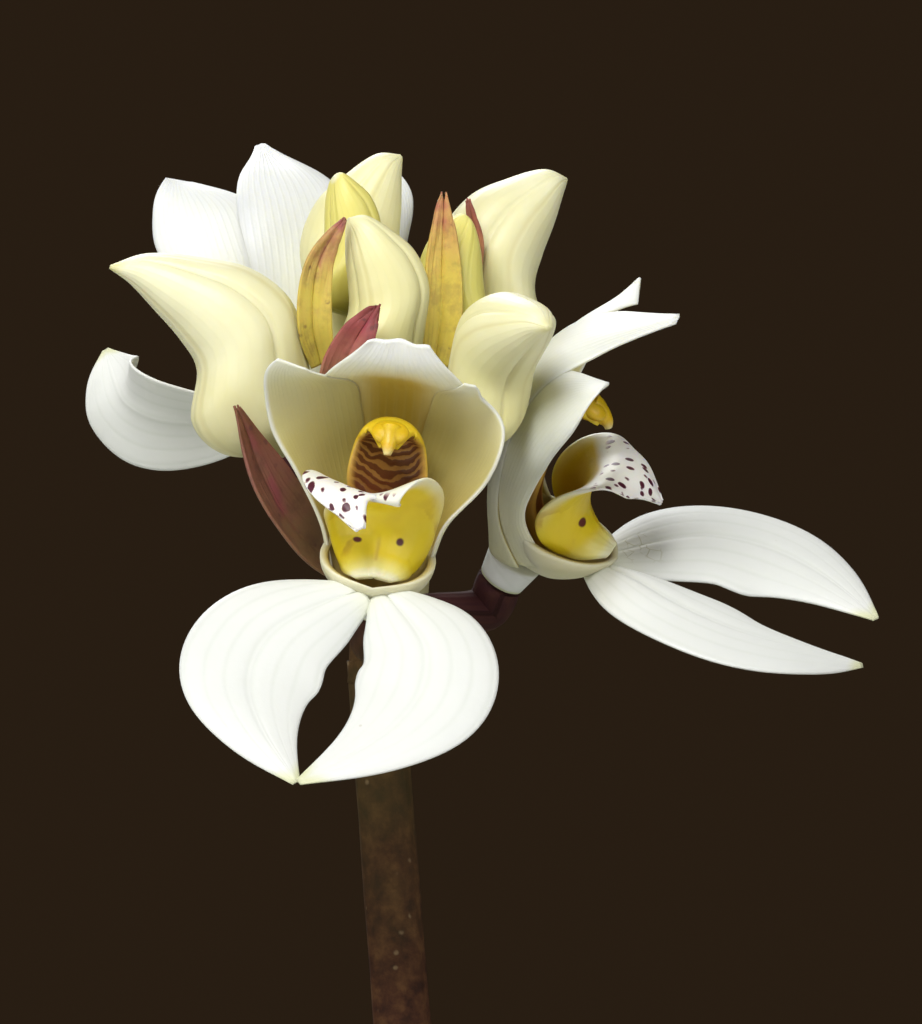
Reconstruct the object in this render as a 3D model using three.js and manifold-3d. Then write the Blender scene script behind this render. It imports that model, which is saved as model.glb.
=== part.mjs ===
// A potted Govenia capitata orchid in flower.
// Millimetres, +Z up. The origin is the middle of the pot's underside.
// A bloom has its own axes: X to its side, -Y out of its mouth, +Z up, from the top of its ovary.
import * as THREE from 'three';
import { mergeVertices } from 'three/addons/utils/BufferGeometryUtils.js';
import Module from 'manifold-3d';

const wasm = await Module();
wasm.setup();

// Driving dimensions.
const GAP = 0.3; // between pieces that touch
const POT_HEIGHT = 120;
const POT_TOP_RADIUS = 70;
const POT_FOOT_RADIUS = 48;
const POT_WALL = 6;
const POT_FLOOR = 8;
const POT_RIM_HEIGHT = 26;
const POT_RIM_STEP = 4.5;
const DRAIN_RADIUS = 6;
const DRAIN_CIRCLE = 26;
const SOIL_TOP = 106;
const SOIL_BUMP = 1.6;
const HOLE_DEPTH = 26;

const NECK_HEIGHT = 400; // where the lowest pedicel leaves the scape
const SCAPE_FOOT = [17, 5];
const SCAPE_FOOT_RADIUS = 3.2;
const SCAPE_NECK_RADIUS = 2.15;
const RACHIS_LENGTH = 21;

const SHEATH_FOOT = [-13, -1];
const SHEATH_HEIGHT = 92;
const SHEATH_WALL = 0.9;
const SHEATH_HOLE = 11.2; // radius of the hole it stands in

const TEPAL = 0.62; // thickness of sepals and petals
const CUP_WALL = 0.75;
const LIP = 0.66; // thickness of a lip
const COLUMN = 1.0; // thickness of a column's wall
const BRACT = 0.6; // thickness of a bract
const LEAF = 0.8; // thickness of a leaf
const TIP = 0.25; // least half width of a blade

// Numbers and points spaced evenly along 0 to 1, joined by one smooth line.
function through(knots, t) {
  const last = knots.length - 1;
  const place = Math.min(Math.max(t, 0), 1) * last;
  const i = Math.min(Math.floor(place), last - 1);
  const f = place - i;
  const b = knots[i];
  const c = knots[i + 1];
  const a = i > 0 ? knots[i - 1] : 2 * b - c;
  const d = i + 2 <= last ? knots[i + 2] : 2 * c - b;
  return b + 0.5 * f * (c - a + f * (2 * a - 5 * b + 4 * c - d + f * (3 * (b - c) + d - a)));
}

function pathPoint(points, t) {
  return new THREE.Vector3(
    through(points.map((p) => p[0]), t),
    through(points.map((p) => p[1]), t),
    through(points.map((p) => p[2]), t),
  );
}

function pathDirection(points, t) {
  const step = 0.01;
  const ahead = pathPoint(points, Math.min(t + step, 1));
  return ahead.sub(pathPoint(points, Math.max(t - step, 0))).normalize();
}

// Joins and cuts.
function solid(geometry) {
  const bare = geometry.clone();
  bare.deleteAttribute('normal');
  bare.deleteAttribute('uv');
  const merged = mergeVertices(bare, 1e-4);
  return new wasm.Manifold(new wasm.Mesh({
    numProp: 3,
    vertProperties: new Float32Array(merged.attributes.position.array),
    triVerts: new Uint32Array(merged.index.array),
  }));
}

function geometryOf(body) {
  const mesh = body.getMesh();
  const geometry = new THREE.BufferGeometry();
  geometry.setAttribute('position', new THREE.BufferAttribute(new Float32Array(mesh.vertProperties), 3));
  geometry.setIndex(new THREE.BufferAttribute(new Uint32Array(mesh.triVerts), 1));
  geometry.computeVertexNormals();
  return geometry;
}

const joined = (parts) => geometryOf(parts.map(solid).reduce((all, part) => all.add(part)));

function cut(geometry, tools) {
  return geometryOf(tools.map(solid).reduce((left, tool) => left.subtract(tool), solid(geometry)));
}

function surface(points, faces) {
  const geometry = new THREE.BufferGeometry();
  const numbers = points.flatMap((p) => p.toArray());
  geometry.setAttribute('position', new THREE.Float32BufferAttribute(numbers, 3));
  geometry.setIndex(faces.flat());
  geometry.computeVertexNormals();
  return geometry;
}

// A closed body through rings of points, with a flat fan over each end.
function loft(rings) {
  const around = rings[0].length;
  const points = rings.flat();
  const faces = [];
  for (let i = 0; i + 1 < rings.length; i += 1) {
    for (let j = 0; j < around; j += 1) {
      const a = i * around + j;
      const b = i * around + ((j + 1) % around);
      faces.push([a, b, b + around], [a, b + around, a + around]);
    }
  }
  const ends = [0, rings.length - 1];
  for (const end of ends) {
    const middle = new THREE.Vector3();
    rings[end].forEach((p) => middle.addScaledVector(p, 1 / around));
    const centre = points.push(middle) - 1;
    for (let j = 0; j < around; j += 1) {
      const a = end * around + j;
      const b = end * around + ((j + 1) % around);
      faces.push(end === 0 ? [centre, b, a] : [centre, a, b]);
    }
  }
  return surface(points, faces);
}

// A tube along a line of points, its radius given at even steps.
function stalk(points, radii, steps, sides) {
  const rings = [];
  let side = new THREE.Vector3(1, 0, 0);
  for (let i = 0; i <= steps; i += 1) {
    const along = pathDirection(points, i / steps);
    side.addScaledVector(along, -side.dot(along)).normalize();
    const other = new THREE.Vector3().crossVectors(along, side);
    const centre = pathPoint(points, i / steps);
    const radius = through(radii, i / steps);
    rings.push(Array.from({ length: sides }, (_, j) => {
      const angle = (2 * Math.PI * j) / sides;
      return centre.clone()
        .addScaledVector(side, radius * Math.cos(angle))
        .addScaledVector(other, radius * Math.sin(angle));
    }));
  }
  return loft(rings);
}

// A sheet of even thickness on a grid of points, split alike on both faces.
function sheet(grid, thickness) {
  const rows = grid.length;
  const columns = grid[0].length;
  const at = (i, j) => grid[Math.min(Math.max(i, 0), rows - 1)][Math.min(Math.max(j, 0), columns - 1)];
  const points = [];
  for (const half of [thickness / 2, -thickness / 2]) {
    for (let i = 0; i < rows; i += 1) {
      for (let j = 0; j < columns; j += 1) {
        const along = at(i + 1, j).clone().sub(at(i - 1, j));
        const across = at(i, j + 1).clone().sub(at(i, j - 1));
        const normal = along.cross(across).normalize();
        points.push(at(i, j).clone().addScaledVector(normal, half));
      }
    }
  }
  const under = rows * columns;
  const faces = [];
  for (let i = 0; i + 1 < rows; i += 1) {
    for (let j = 0; j + 1 < columns; j += 1) {
      const a = i * columns + j;
      const b = a + columns;
      faces.push([a, b, b + 1], [a, b + 1, a + 1]);
      faces.push([a + under, b + 1 + under, b + under], [a + under, a + 1 + under, b + 1 + under]);
    }
  }
  const edge = [];
  for (let j = 0; j + 1 < columns; j += 1) {
    edge.push(j);
  }
  for (let i = 0; i + 1 < rows; i += 1) {
    edge.push(i * columns + columns - 1);
  }
  for (let j = columns - 1; j > 0; j -= 1) {
    edge.push((rows - 1) * columns + j);
  }
  for (let i = rows - 1; i > 0; i -= 1) {
    edge.push(i * columns);
  }
  edge.forEach((a, k) => {
    const b = edge[(k + 1) % edge.length];
    faces.push([a, b, b + under], [a, b + under, a + under]);
  });
  return surface(points, faces);
}

// A free blade: a midrib, the way its upper face looks, its half width and how far its edges turn up.
function blade({ midrib, facing, half, curl, rows, columns, wave = () => 0 }) {
  const grid = [];
  for (let i = 0; i <= rows; i += 1) {
    const t = i / rows;
    const along = pathDirection(midrib, t);
    const up = Array.isArray(facing[0]) ? pathPoint(facing, t) : new THREE.Vector3(...facing);
    const across = new THREE.Vector3().crossVectors(along, up).normalize();
    const normal = new THREE.Vector3().crossVectors(across, along);
    const width = Math.max(through(half, t), TIP);
    const turn = through(curl, t);
    const row = [];
    for (let j = 0; j <= columns; j += 1) {
      const v = (2 * j) / columns - 1;
      const angle = turn * v;
      const flat = Math.abs(turn) < 1e-3;
      const x = flat ? v * width : (width * Math.sin(angle)) / turn;
      const rise = flat ? 0 : (width * (1 - Math.cos(angle))) / turn;
      row.push(pathPoint(midrib, t).addScaledVector(across, x).addScaledVector(normal, rise + wave(t, v)));
    }
    grid.push(row);
  }
  return grid;
}

const radians = (degrees) => (degrees * Math.PI) / 180;

// Bloom. Its hood is one bowl: a back line and a middle line, both as [out, up], and a half width.
// A brimmed hood has a lower roof, and a blunt edge that stands up.
const HOOD_BACK = [[-1.2, 0.8], [-0.9, 6.0], [0.8, 12.0], [3.8, 16.4], [8.2, 18.4], [13.3, 18.9]];
const BRIM_BACK = [[-1.2, 0.8], [-0.9, 6.0], [0.8, 12.0], [4.0, 15.9], [8.8, 16.9], [11.8, 18.9]];
const HOOD_MIDDLE = [[2.4, 0.4], [1.7, 5.4], [3.7, 9.8], [6.2, 13.4], [9.3, 15.7], [12.4, 17.2]];
const HOOD_HALF = [3.4, 4.7, 7.5, 9.0, 9.2, 8.0];
const HOOD_FOOT = 0.02; // where the dorsal sepal starts on it
const PETAL_FOOT = 0.03;
const PETAL_REACH = 0.84;
// Degrees from the middle of the hood's back, from foot to tip.
const DORSAL_SPREAD = [72, 50, 38, 33, 23, 4];
const BRIM_SPREAD = [72, 50, 40, 38, 34, 16];
const PETAL_INNER = [14, 15, 16, 18, 24, 52];
const PETAL_OUTER = [112, 97, 91, 88, 82, 62];
const TUCKED_INNER = [14, 15, 16, 18, 22, 37];
const TUCKED_OUTER = [112, 97, 91, 86, 50, 44];

const between = (a, b, share) => a + (b - a) * share;

function hoodPoint(brim, t, angle, outwards) {
  const line = (points, k) => through(points.map((p) => p[k]), t);
  const middle = [line(HOOD_MIDDLE, 0), line(HOOD_MIDDLE, 1)];
  const back = [0, 1].map((k) => between(line(HOOD_BACK, k), line(BRIM_BACK, k), brim));
  const deep = Math.hypot(back[0] - middle[0], back[1] - middle[1]);
  const wide = through(HOOD_HALF, t) + outwards;
  const reach = (Math.cos(angle) * (deep + outwards)) / deep;
  return new THREE.Vector3(
    Math.sin(angle) * wide,
    -(middle[0] + reach * (back[0] - middle[0])),
    middle[1] + reach * (back[1] - middle[1]),
  );
}

function dorsalSepal(brim, rows, columns) {
  const grid = [];
  for (let i = 0; i <= rows; i += 1) {
    const t = HOOD_FOOT + ((1 - HOOD_FOOT) * i) / rows;
    const turn = radians(between(through(DORSAL_SPREAD, t), through(BRIM_SPREAD, t), brim));
    const across = Array.from({ length: columns + 1 }, (_, j) => (2 * j) / columns - 1);
    grid.push(across.map((v) => hoodPoint(brim, t, turn * v, TEPAL / 2)));
  }
  return sheet(grid, TEPAL);
}

function petal(side, pose, rows, columns) {
  const { flare, tuck } = side < 0 ? pose.left : pose.right;
  const grid = [];
  for (let i = 0; i <= rows; i += 1) {
    const t = PETAL_FOOT + ((PETAL_REACH - PETAL_FOOT) * i) / rows;
    const along = t / PETAL_REACH;
    const from = radians(between(through(PETAL_INNER, along), through(TUCKED_INNER, along), tuck));
    const to = radians(between(through(PETAL_OUTER, along), through(TUCKED_OUTER, along), tuck));
    const row = Array.from({ length: columns + 1 }, (_, j) => {
      const outwards = through(flare, along) * (j / columns) ** 1.5;
      return hoodPoint(pose.brim, t, side * between(from, to, j / columns), outwards);
    });
    grid.push(side > 0 ? row : row.reverse());
  }
  return sheet(grid, TEPAL);
}

// The cup under the hood: the foot of the column and the bases of the petals, open on top.
const CUP_MIDDLE = 3.1;
const CUP_BOTTOM = -1.1;
const CUP_RIM = [3.0, 4.6, 2.7, 1.1, 0.2];
const CUP_REACH = [4.3, 4.4, 4.6, 4.7, 4.7];

function cup(sectors, levels) {
  const wall = (w, j, inwards) => {
    const angle = (2 * Math.PI * j) / sectors;
    const round = Math.abs(((angle / Math.PI + 1) % 2) - 1);
    const reach = (through(CUP_REACH, round) - inwards) * Math.sin((w * Math.PI) / 2);
    const bottom = CUP_BOTTOM + inwards;
    const height = bottom + (through(CUP_RIM, round) - bottom) * (1 - Math.cos((w * Math.PI) / 2)) ** 0.9;
    return new THREE.Vector3(Math.sin(angle) * reach, Math.cos(angle) * reach - CUP_MIDDLE, height);
  };
  const rings = [];
  for (const inwards of [0, CUP_WALL]) {
    for (let i = 1; i <= levels; i += 1) {
      const w = inwards === 0 ? i / levels : (levels + 1 - i) / levels;
      rings.push(Array.from({ length: sectors }, (_, j) => wall(w, -j, inwards)));
    }
  }
  return loft(rings);
}

// Half midribs of the two lateral sepals, before a bloom's own reach, spread, drop and sag.
const LATERAL_SIDE = [0.8, 3.6, 7.0, 8.4, 7.5, 5.4];
const LATERAL_OUT = [0, 2.9, 6.6, 11.0, 15.2, 19.0];
const LATERAL_DROP = [0, 0.1, 0.9, 2.6, 4.6, 6.8];
const LATERAL_HALF = [1.7, 4.0, 5.5, 5.6, 3.3, 0.3];
const LATERAL_ROOT = [6.6, -0.1];

function lateralSepal(side, pose, rows, columns) {
  const { spread, hook } = side < 0 ? pose.left : pose.right;
  const midrib = LATERAL_SIDE.map((s, i) => {
    const t = i / (LATERAL_SIDE.length - 1);
    return [
      side * s * (i ? spread : 1) + hook * t ** 3,
      -(LATERAL_ROOT[0] + LATERAL_OUT[i] * pose.reach),
      LATERAL_ROOT[1] - LATERAL_DROP[i] * pose.drop - pose.sag * Math.sin(Math.PI * t),
    ];
  });
  const tilt = radians(pose.face);
  return sheet(blade({
    midrib,
    facing: [side * -0.12, -Math.sin(tilt), Math.cos(tilt)],
    half: LATERAL_HALF,
    curl: [-0.9, -0.55, -0.35, -0.3, -0.3, -0.5],
    rows,
    columns,
    wave: (t, v) => 0.25 * v * v * Math.sin(9 * t + side),
  }), TEPAL);
}

// The knob where the tepals sit on the ovary.
const OVARY_AXIS = new THREE.Vector3(0, 0.55, -0.835).normalize();
const OVARY_RADIUS = 1.75;
const RECEPTACLE = 1.9;

function receptacle() {
  const top = OVARY_AXIS.clone().multiplyScalar(-0.3);
  const end = OVARY_AXIS.clone().multiplyScalar(RECEPTACLE);
  return stalk([top.toArray(), end.toArray()], [2.2, OVARY_RADIUS], 1, 10);
}

function tepals(pose) {
  return joined([
    cup(12, 3),
    receptacle(),
    dorsalSepal(pose.brim, 8, 5),
    petal(-1, pose, 8, 4),
    petal(1, pose, 8, 4),
    lateralSepal(-1, pose, 9, 4),
    lateralSepal(1, pose, 9, 4),
  ]);
}

// Lip: narrow at its hinge, wide and folded back round the column, its white tip bent down.
const LIP_LINE = [[7.5, 1.05], [6.3, 2.6], [5.7, 4.5], [6.3, 6.4], [8.0, 7.6], [10.1, 6.9], [11.4, 4.7]];
const LIP_HALF = [1.5, 3.8, 5.6, 5.6, 4.6];
const LIP_CURL = [0.6, 1.3, 1.3, 0.7, 0.1, -0.4, -0.5];
const LIP_SWAY = [0, 0, 0, 0.2, 0.8, 0.85, 0.45];

function lip(pose) {
  const grid = blade({
    midrib: LIP_LINE.map((p, i) => [pose.lipSway * LIP_SWAY[i], -p[0], p[1]]),
    facing: [[0, 1, 0.1], [0, 1, 0.1], [0, 1, 0.3], [0, 0.6, 1], [0, -0.4, 1], [0, -1, 0.3], [0, -1, -0.2]],
    half: [...LIP_HALF, pose.flap, 0.35],
    curl: LIP_CURL,
    rows: 9,
    columns: 6,
    wave: (t, v) => 0.3 * Math.sin(7 * v) * Math.max(0, t - 0.45) * Math.abs(v),
  });
  return sheet(grid, LIP);
}

// Column: an arched strap, hollow in front, with wings and a cap over its tip.
const COLUMN_LINE = [[1.9, 1.2], [1.3, 4.8], [1.9, 8.8], [3.5, 12.5], [5.9, 13.3], [7.4, 11.5]];

function column() {
  const strap = sheet(blade({
    midrib: COLUMN_LINE.map((p) => [0, -p[0], p[1]]),
    facing: [[0, -1, 0.1], [0, -1, 0.1], [0, -1, -0.3], [0, -0.6, -1], [0, 0.1, -1], [0, 0.8, -0.6]],
    half: [1.3, 2.0, 3.4, 3.0, 2.4, 0.7],
    curl: [0.9, 1.0, 0.8, 0.9, 1.0, 0.9],
    rows: 7,
    columns: 4,
  }), COLUMN);
  const cap = new THREE.SphereGeometry(1, 8, 6);
  cap.scale(1.5, 1.3, 0.75);
  cap.rotateX(radians(40));
  cap.translate(0, -6.8, 12.5);
  const beak = stalk([[0, -7.0, 12.1], [0, -7.9, 10.8]], [0.8, 0.3], 1, 6);
  return joined([strap, cap, beak]);
}

// Bud: a closed bloom, from the same ovary, by its back line, its front line and its half width.
const BUD_BACK = [
  [0.2, 1.4], [-0.8, 3.2], [-0.3, 7.0], [0.9, 10.9], [4.0, 13.4], [8.0, 14.3], [12.0, 14.6], [14.9, 13.7],
];
const BUD_FRONT = [
  [1.5, -1.2], [6.2, -1.0], [8.7, 1.4], [8.3, 5.4], [9.6, 7.8], [11.6, 10.2], [13.4, 12.2], [15.0, 13.4],
];
const BUD_HALF = [1.5, 3.3, 4.4, 4.7, 4.3, 3.3, 1.9, 0.3];

function bud(pose) {
  const sides = 12;
  const rows = 9;
  const rings = [];
  for (let i = 0; i <= rows; i += 1) {
    const t = i / rows;
    const line = (knots, k) => through(knots.map((p) => p[k]), t);
    const lean = pose.closed * t;
    const back = [line(BUD_BACK, 0) * (1 - 0.5 * lean), line(BUD_BACK, 1) * (1 + 0.12 * lean)];
    const front = [line(BUD_FRONT, 0) * (1 - 0.5 * lean), line(BUD_FRONT, 1) * (1 + 0.12 * lean)];
    const half = through(BUD_HALF, t) * pose.plump;
    rings.push(Array.from({ length: sides }, (_, j) => {
      const angle = (-2 * Math.PI * j) / sides;
      const seam = 1 - 0.07 * Math.max(0, Math.cos(3 * angle - Math.PI)) ** 4 * Math.sin(Math.PI * t);
      const deep = 0.5 + 0.5 * Math.cos(angle) * seam;
      return new THREE.Vector3(
        Math.sin(angle) * half * seam,
        -(front[0] + (back[0] - front[0]) * deep),
        front[1] + (back[1] - front[1]) * deep,
      );
    }));
  }
  const top = OVARY_AXIS.clone().multiplyScalar(-0.6);
  const end = OVARY_AXIS.clone().multiplyScalar(RECEPTACLE);
  return joined([loft(rings), stalk([top.toArray(), end.toArray()], [1.6, OVARY_RADIUS], 1, 8)]);
}

// Where each bloom and bud sits above the neck, and how it is turned.
// turn: 0 faces front, 90 faces right. nod looks down. roll leans the top to the bloom's left edge.
const HALF = { spread: 1, hook: 0, flare: [0, 0.1, 2.4], tuck: 0 };
const OPEN = {
  left: HALF, right: HALF, brim: 0, reach: 1, drop: 1, sag: 0, face: 20, lipSway: 0, flap: 3.2,
};
const BLOOMS = [
  { name: 'bloom_front', at: [-0.7, -9.6, 5.4], turn: -2, nod: 0, roll: 6.5, size: 0.97, from: 1.5,
    pose: {
      left: { spread: 1.08, hook: 2.2, flare: [0, 0.8, 1.5], tuck: 0 },
      right: { spread: 0.78, hook: -7.7, flare: [0, 0.5, 0], tuck: 1 },
      brim: 1, reach: 0.74, drop: 2.25, sag: 2.1, face: 48, lipSway: -3, flap: 1.9 } },
  { name: 'bloom_right', at: [10.0, 5.4, 7.7], turn: 80, nod: 0, roll: -25, size: 1.05, from: 3,
    pose: { ...OPEN, left: { ...HALF, spread: 0.9 }, right: { ...HALF, spread: 0.9, hook: -2 },
      reach: 1.04, drop: 0.9, face: 12 } },
  { name: 'bloom_back_left', at: [-6.9, 13.4, 17.9], turn: -160, nod: -14, roll: 0, size: 1.0, from: 13.8,
    pose: { ...OPEN, left: { ...HALF, spread: 0.6 },
      right: { spread: 1.06, hook: 5.5, flare: [0, 2.2, 1.6], tuck: 0 },
      reach: 0.45, drop: -0.42, sag: 1.8, face: 54 } },
];

const BUD = { closed: 0, plump: 1 };
const BUDS = [
  { name: 'bud_left', at: [-6.4, -4.0, 16.8], turn: -84, nod: 0, roll: 0, size: 1, from: 11, pose: BUD },
  { name: 'bud_right', at: [5.7, -5.2, 19.0], turn: 28, nod: 22, roll: 0, size: 0.83, from: 12,
    pose: { closed: 0.2, plump: 0.88 } },
  { name: 'bud_centre', at: [1.1, -3.5, 20.6], turn: -60, nod: -20, roll: -4, size: 0.78, from: 17,
    pose: { closed: 0.55, plump: 0.9 } },
  { name: 'bud_behind_left', at: [-2.0, 1.7, 27.0], turn: -60, nod: -16, roll: 0, size: 0.62, from: 20,
    pose: { closed: 0.9, plump: 0.8 } },
  { name: 'bud_behind_right', at: [4.8, 2.2, 22.0], turn: 118, nod: -20, roll: 0, size: 0.72, from: 18,
    pose: { closed: 0.9, plump: 0.8 } },
  { name: 'bud_far_right', at: [5.0, 9.4, 22.4], turn: 112, nod: -6, roll: 0, size: 0.98, from: 17,
    pose: { closed: 0.45, plump: 0.95 } },
  { name: 'bud_behind_centre', at: [-2.8, 7.0, 21.8], turn: 95, nod: -25, roll: 0, size: 0.98, from: 18.5,
    pose: { closed: 0.5, plump: 0.82 } },
  { name: 'bud_low_back', at: [0.4, 5.4, 1.2], turn: 184, nod: 0, roll: 0, size: 0.72, from: 0,
    pose: { closed: 0.1, plump: 0.95 } },
];

function placed(flower) {
  const group = new THREE.Group();
  group.position.set(...flower.at);
  group.rotation.set(radians(flower.nod), radians(flower.roll), radians(flower.turn), 'ZXY');
  group.scale.setScalar(flower.size);
  group.updateMatrix();
  return group;
}

// Scape, rachis, pedicels and ovaries: one grown piece.
const SCAPE_RADII = [SCAPE_FOOT_RADIUS, 3.1, 2.8, 2.45, SCAPE_NECK_RADIUS];
const SCAPE_LINE = [
  [SCAPE_FOOT[0], SCAPE_FOOT[1], SOIL_TOP - HOLE_DEPTH + GAP],
  [16, 5, 170],
  [11, 4, 250],
  [4.5, 2, 330],
  [-0.9, 0, NECK_HEIGHT],
];

function pedicel(flower) {
  const group = placed(flower);
  const local = (distance) => OVARY_AXIS.clone()
    .multiplyScalar(distance / flower.size)
    .applyMatrix4(group.matrix);
  const end = local(RECEPTACLE * flower.size + GAP);
  const bend = local(5 * flower.size);
  const root = new THREE.Vector3(0, 0, flower.from);
  const low = new THREE.Vector3(bend.x * 0.35, bend.y * 0.35, Math.min(flower.from + 0.8, bend.z));
  return stalk(
    [root, low, bend, end].map((p) => p.toArray()),
    [1.1, 1.25, 1.7 * flower.size, OVARY_RADIUS * flower.size],
    5,
    7,
  );
}

function scape() {
  const stem = stalk(SCAPE_LINE, SCAPE_RADII, 12, 10);
  const rachis = stalk(
    [[-0.9, 0, -2], [-0.3, 0, 6], [0.1, 0.2, 14], [0, 0.4, RACHIS_LENGTH]],
    [2.1, 2.2, 1.9, 1.0],
    5,
    10,
  );
  const head = [rachis, ...[...BLOOMS, ...BUDS].map(pedicel)];
  head.forEach((part) => part.translate(0, 0, NECK_HEIGHT));
  return joined([stem, ...head]);
}

// Bracts, each from its root at the rachis to its tip, with a half width.
const BRACTS = [
  { name: 'bract_lower_left',
    line: [[-3.0, -2.4, 6.8], [-6.1, -6.4, 9.2], [-9.0, -8.6, 13.4], [-11.4, -9.9, 19.4]],
    facing: [0.8, -0.8, 0.4], half: 3.0, colour: 0x6b3a35 },
  { name: 'bract_crimson',
    line: [[-3.6, -6.6, 20.2], [-3.2, -9.0, 22.4], [-2.0, -9.8, 25.0], [-0.6, -9.6, 27.2]],
    facing: [0, -1, 0.2], half: 1.8, colour: 0x8e2f3c },
  { name: 'bract_curled',
    line: [[-5.0, -4.7, 22.8], [-5.6, -5.6, 26.0], [-5.2, -5.8, 30.4], [-3.2, -6.0, 34.0]],
    facing: [0.3, -1, 0], half: 1.5, colour: 0xb9a02c },
  { name: 'bract_forked',
    line: [[3.8, -0.2, 22.8], [4.3, -0.6, 26.8], [4.4, -1.1, 31.4], [4.5, -1.7, 36.2]],
    facing: [0.2, -1, 0], half: 1.7, colour: 0xc8b53a },
  { name: 'bract_slim',
    line: [[5.0, 6.9, 26.0], [6.2, 6.6, 29.0], [7.0, 6.0, 32.2], [6.4, 5.4, 35.6]],
    facing: [0.2, -1, 0], half: 0.8, colour: 0xb08a3c },
];

function bract(spec) {
  return sheet(blade({
    midrib: spec.line,
    facing: spec.facing,
    half: [0.7, 1, 0.95, 0.7, 0.12].map((w) => w * spec.half),
    curl: [1.0, 0.9, 0.7, 0.6, 0.5],
    rows: 7,
    columns: 4,
  }), BRACT);
}

// Sheaths: closed rings round the scape, each a little flared at its lip.
const SCAPE_SHEATHS = [0.13, 0.36, 0.62]; // where each starts along the scape
const SCAPE_SHEATH_LENGTH = 0.15;
const SCAPE_SHEATH_WALL = 0.65;
const SCAPE_SHEATH_FLARE = 1.3;

function scapeSheath(start) {
  const sides = 12;
  const ring = (t, outwards, slant) => {
    const place = start + SCAPE_SHEATH_LENGTH * t;
    const along = pathDirection(SCAPE_LINE, place);
    const side = new THREE.Vector3(1, 0, 0).addScaledVector(along, -along.x).normalize();
    const other = new THREE.Vector3().crossVectors(along, side);
    const bare = through(SCAPE_RADII, place);
    const radius = bare + 2 * GAP + SCAPE_SHEATH_FLARE * t ** 3 + outwards;
    return Array.from({ length: sides }, (_, j) => {
      const angle = (2 * Math.PI * j) / sides;
      return pathPoint(SCAPE_LINE, place)
        .addScaledVector(side, radius * Math.cos(angle))
        .addScaledVector(other, radius * Math.sin(angle))
        .addScaledVector(along, slant * (1 + Math.cos(angle)));
    });
  };
  const stations = [[0, 0], [0.4, 1], [0.8, 2.5], [1, 4]];
  const rings = [
    ...stations.map(([t, slant]) => ring(t, SCAPE_SHEATH_WALL, slant)),
    ...stations.reverse().map(([t, slant]) => ring(t, 0, slant)),
  ];
  const points = rings.flat();
  const faces = [];
  rings.forEach((_, i) => {
    const next = ((i + 1) % rings.length) * sides;
    for (let j = 0; j < sides; j += 1) {
      const k = (j + 1) % sides;
      faces.push([i * sides + j, i * sides + k, next + k], [i * sides + j, next + k, next + j]);
    }
  });
  return surface(points, faces);
}

// Leaf sheath: a swollen tube, closed below, with the two leaf stalks inside it.
function leafSheath() {
  const sides = 14;
  const foot = SOIL_TOP - HOLE_DEPTH + GAP;
  const height = SHEATH_HEIGHT + HOLE_DEPTH;
  const radii = [9.0, 10.4, 11.6, 11.2, 10.2, 10.6];
  const ring = (t, inwards, lift = 0) => Array.from({ length: sides }, (_, j) => {
    const angle = (2 * Math.PI * j) / sides;
    const radius = through(radii, t) - inwards;
    return new THREE.Vector3(
      SHEATH_FOOT[0] + radius * Math.cos(angle) - 3 * t * t,
      SHEATH_FOOT[1] + radius * Math.sin(angle),
      foot + lift + height * t - 4 * t ** 3 * (1 - Math.sin(angle)),
    );
  });
  const outside = [0, 0.25, 0.5, 0.75, 1].map((t) => ring(t, 0));
  const inside = [1, 0.75, 0.5, 0.25].map((t) => ring(t, SHEATH_WALL));
  return loft([...outside, ...inside, ring(0, SHEATH_WALL, 2)]);
}

// Leaves: a channelled stalk and a broad pleated blade.
const LEAVES = [
  { name: 'leaf_left',
    line: [
      [-17, 0, 86], [-18.5, -1, 150], [-22, -2.5, 204], [-50, -6, 266],
      [-98, -12, 306], [-150, -22, 302], [-186, -32, 262],
    ],
    facing: [
      [-0.9, 0.2, 0.1], [-0.9, 0.2, 0.1], [-0.8, 0.1, 0.5], [0.4, 0.1, 1],
      [0.2, -0.1, 1], [-0.4, -0.1, 1], [-0.8, -0.2, 1],
    ] },
  { name: 'leaf_right',
    line: [
      [-9.5, 0, 86], [-11.5, -0.5, 150], [-13, 2, 204], [-13, 30, 258],
      [8, 68, 308], [52, 100, 326], [98, 120, 298],
    ],
    facing: [
      [0.9, 0.2, 0.1], [0.9, 0.3, 0.1], [0.8, 0.4, 0.5], [-0.4, -0.1, 1],
      [-0.2, -0.1, 1], [0.3, 0.1, 1], [0.7, 0.2, 1],
    ] },
];
const LEAF_HALF = [4.0, 4.4, 5.8, 28, 43, 37, 1.5];
const LEAF_FOLD = [0.7, 0.7, 0.7, 0.5, 0.35, 0.3, 0.2];
const PLEATS = 5;

function leaf(spec) {
  return sheet(blade({
    midrib: spec.line,
    facing: spec.facing,
    half: LEAF_HALF,
    curl: LEAF_FOLD,
    rows: 16,
    columns: 2 * PLEATS,
    wave: (t, v) => {
      const pleat = Math.round((v + 1) * PLEATS) % 2 ? 1 : -1;
      const open = Math.max(0, t - 0.38) * Math.max(0, 1.04 - t) * 7;
      return pleat * open * 1.5;
    },
  }), LEAF);
}

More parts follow.
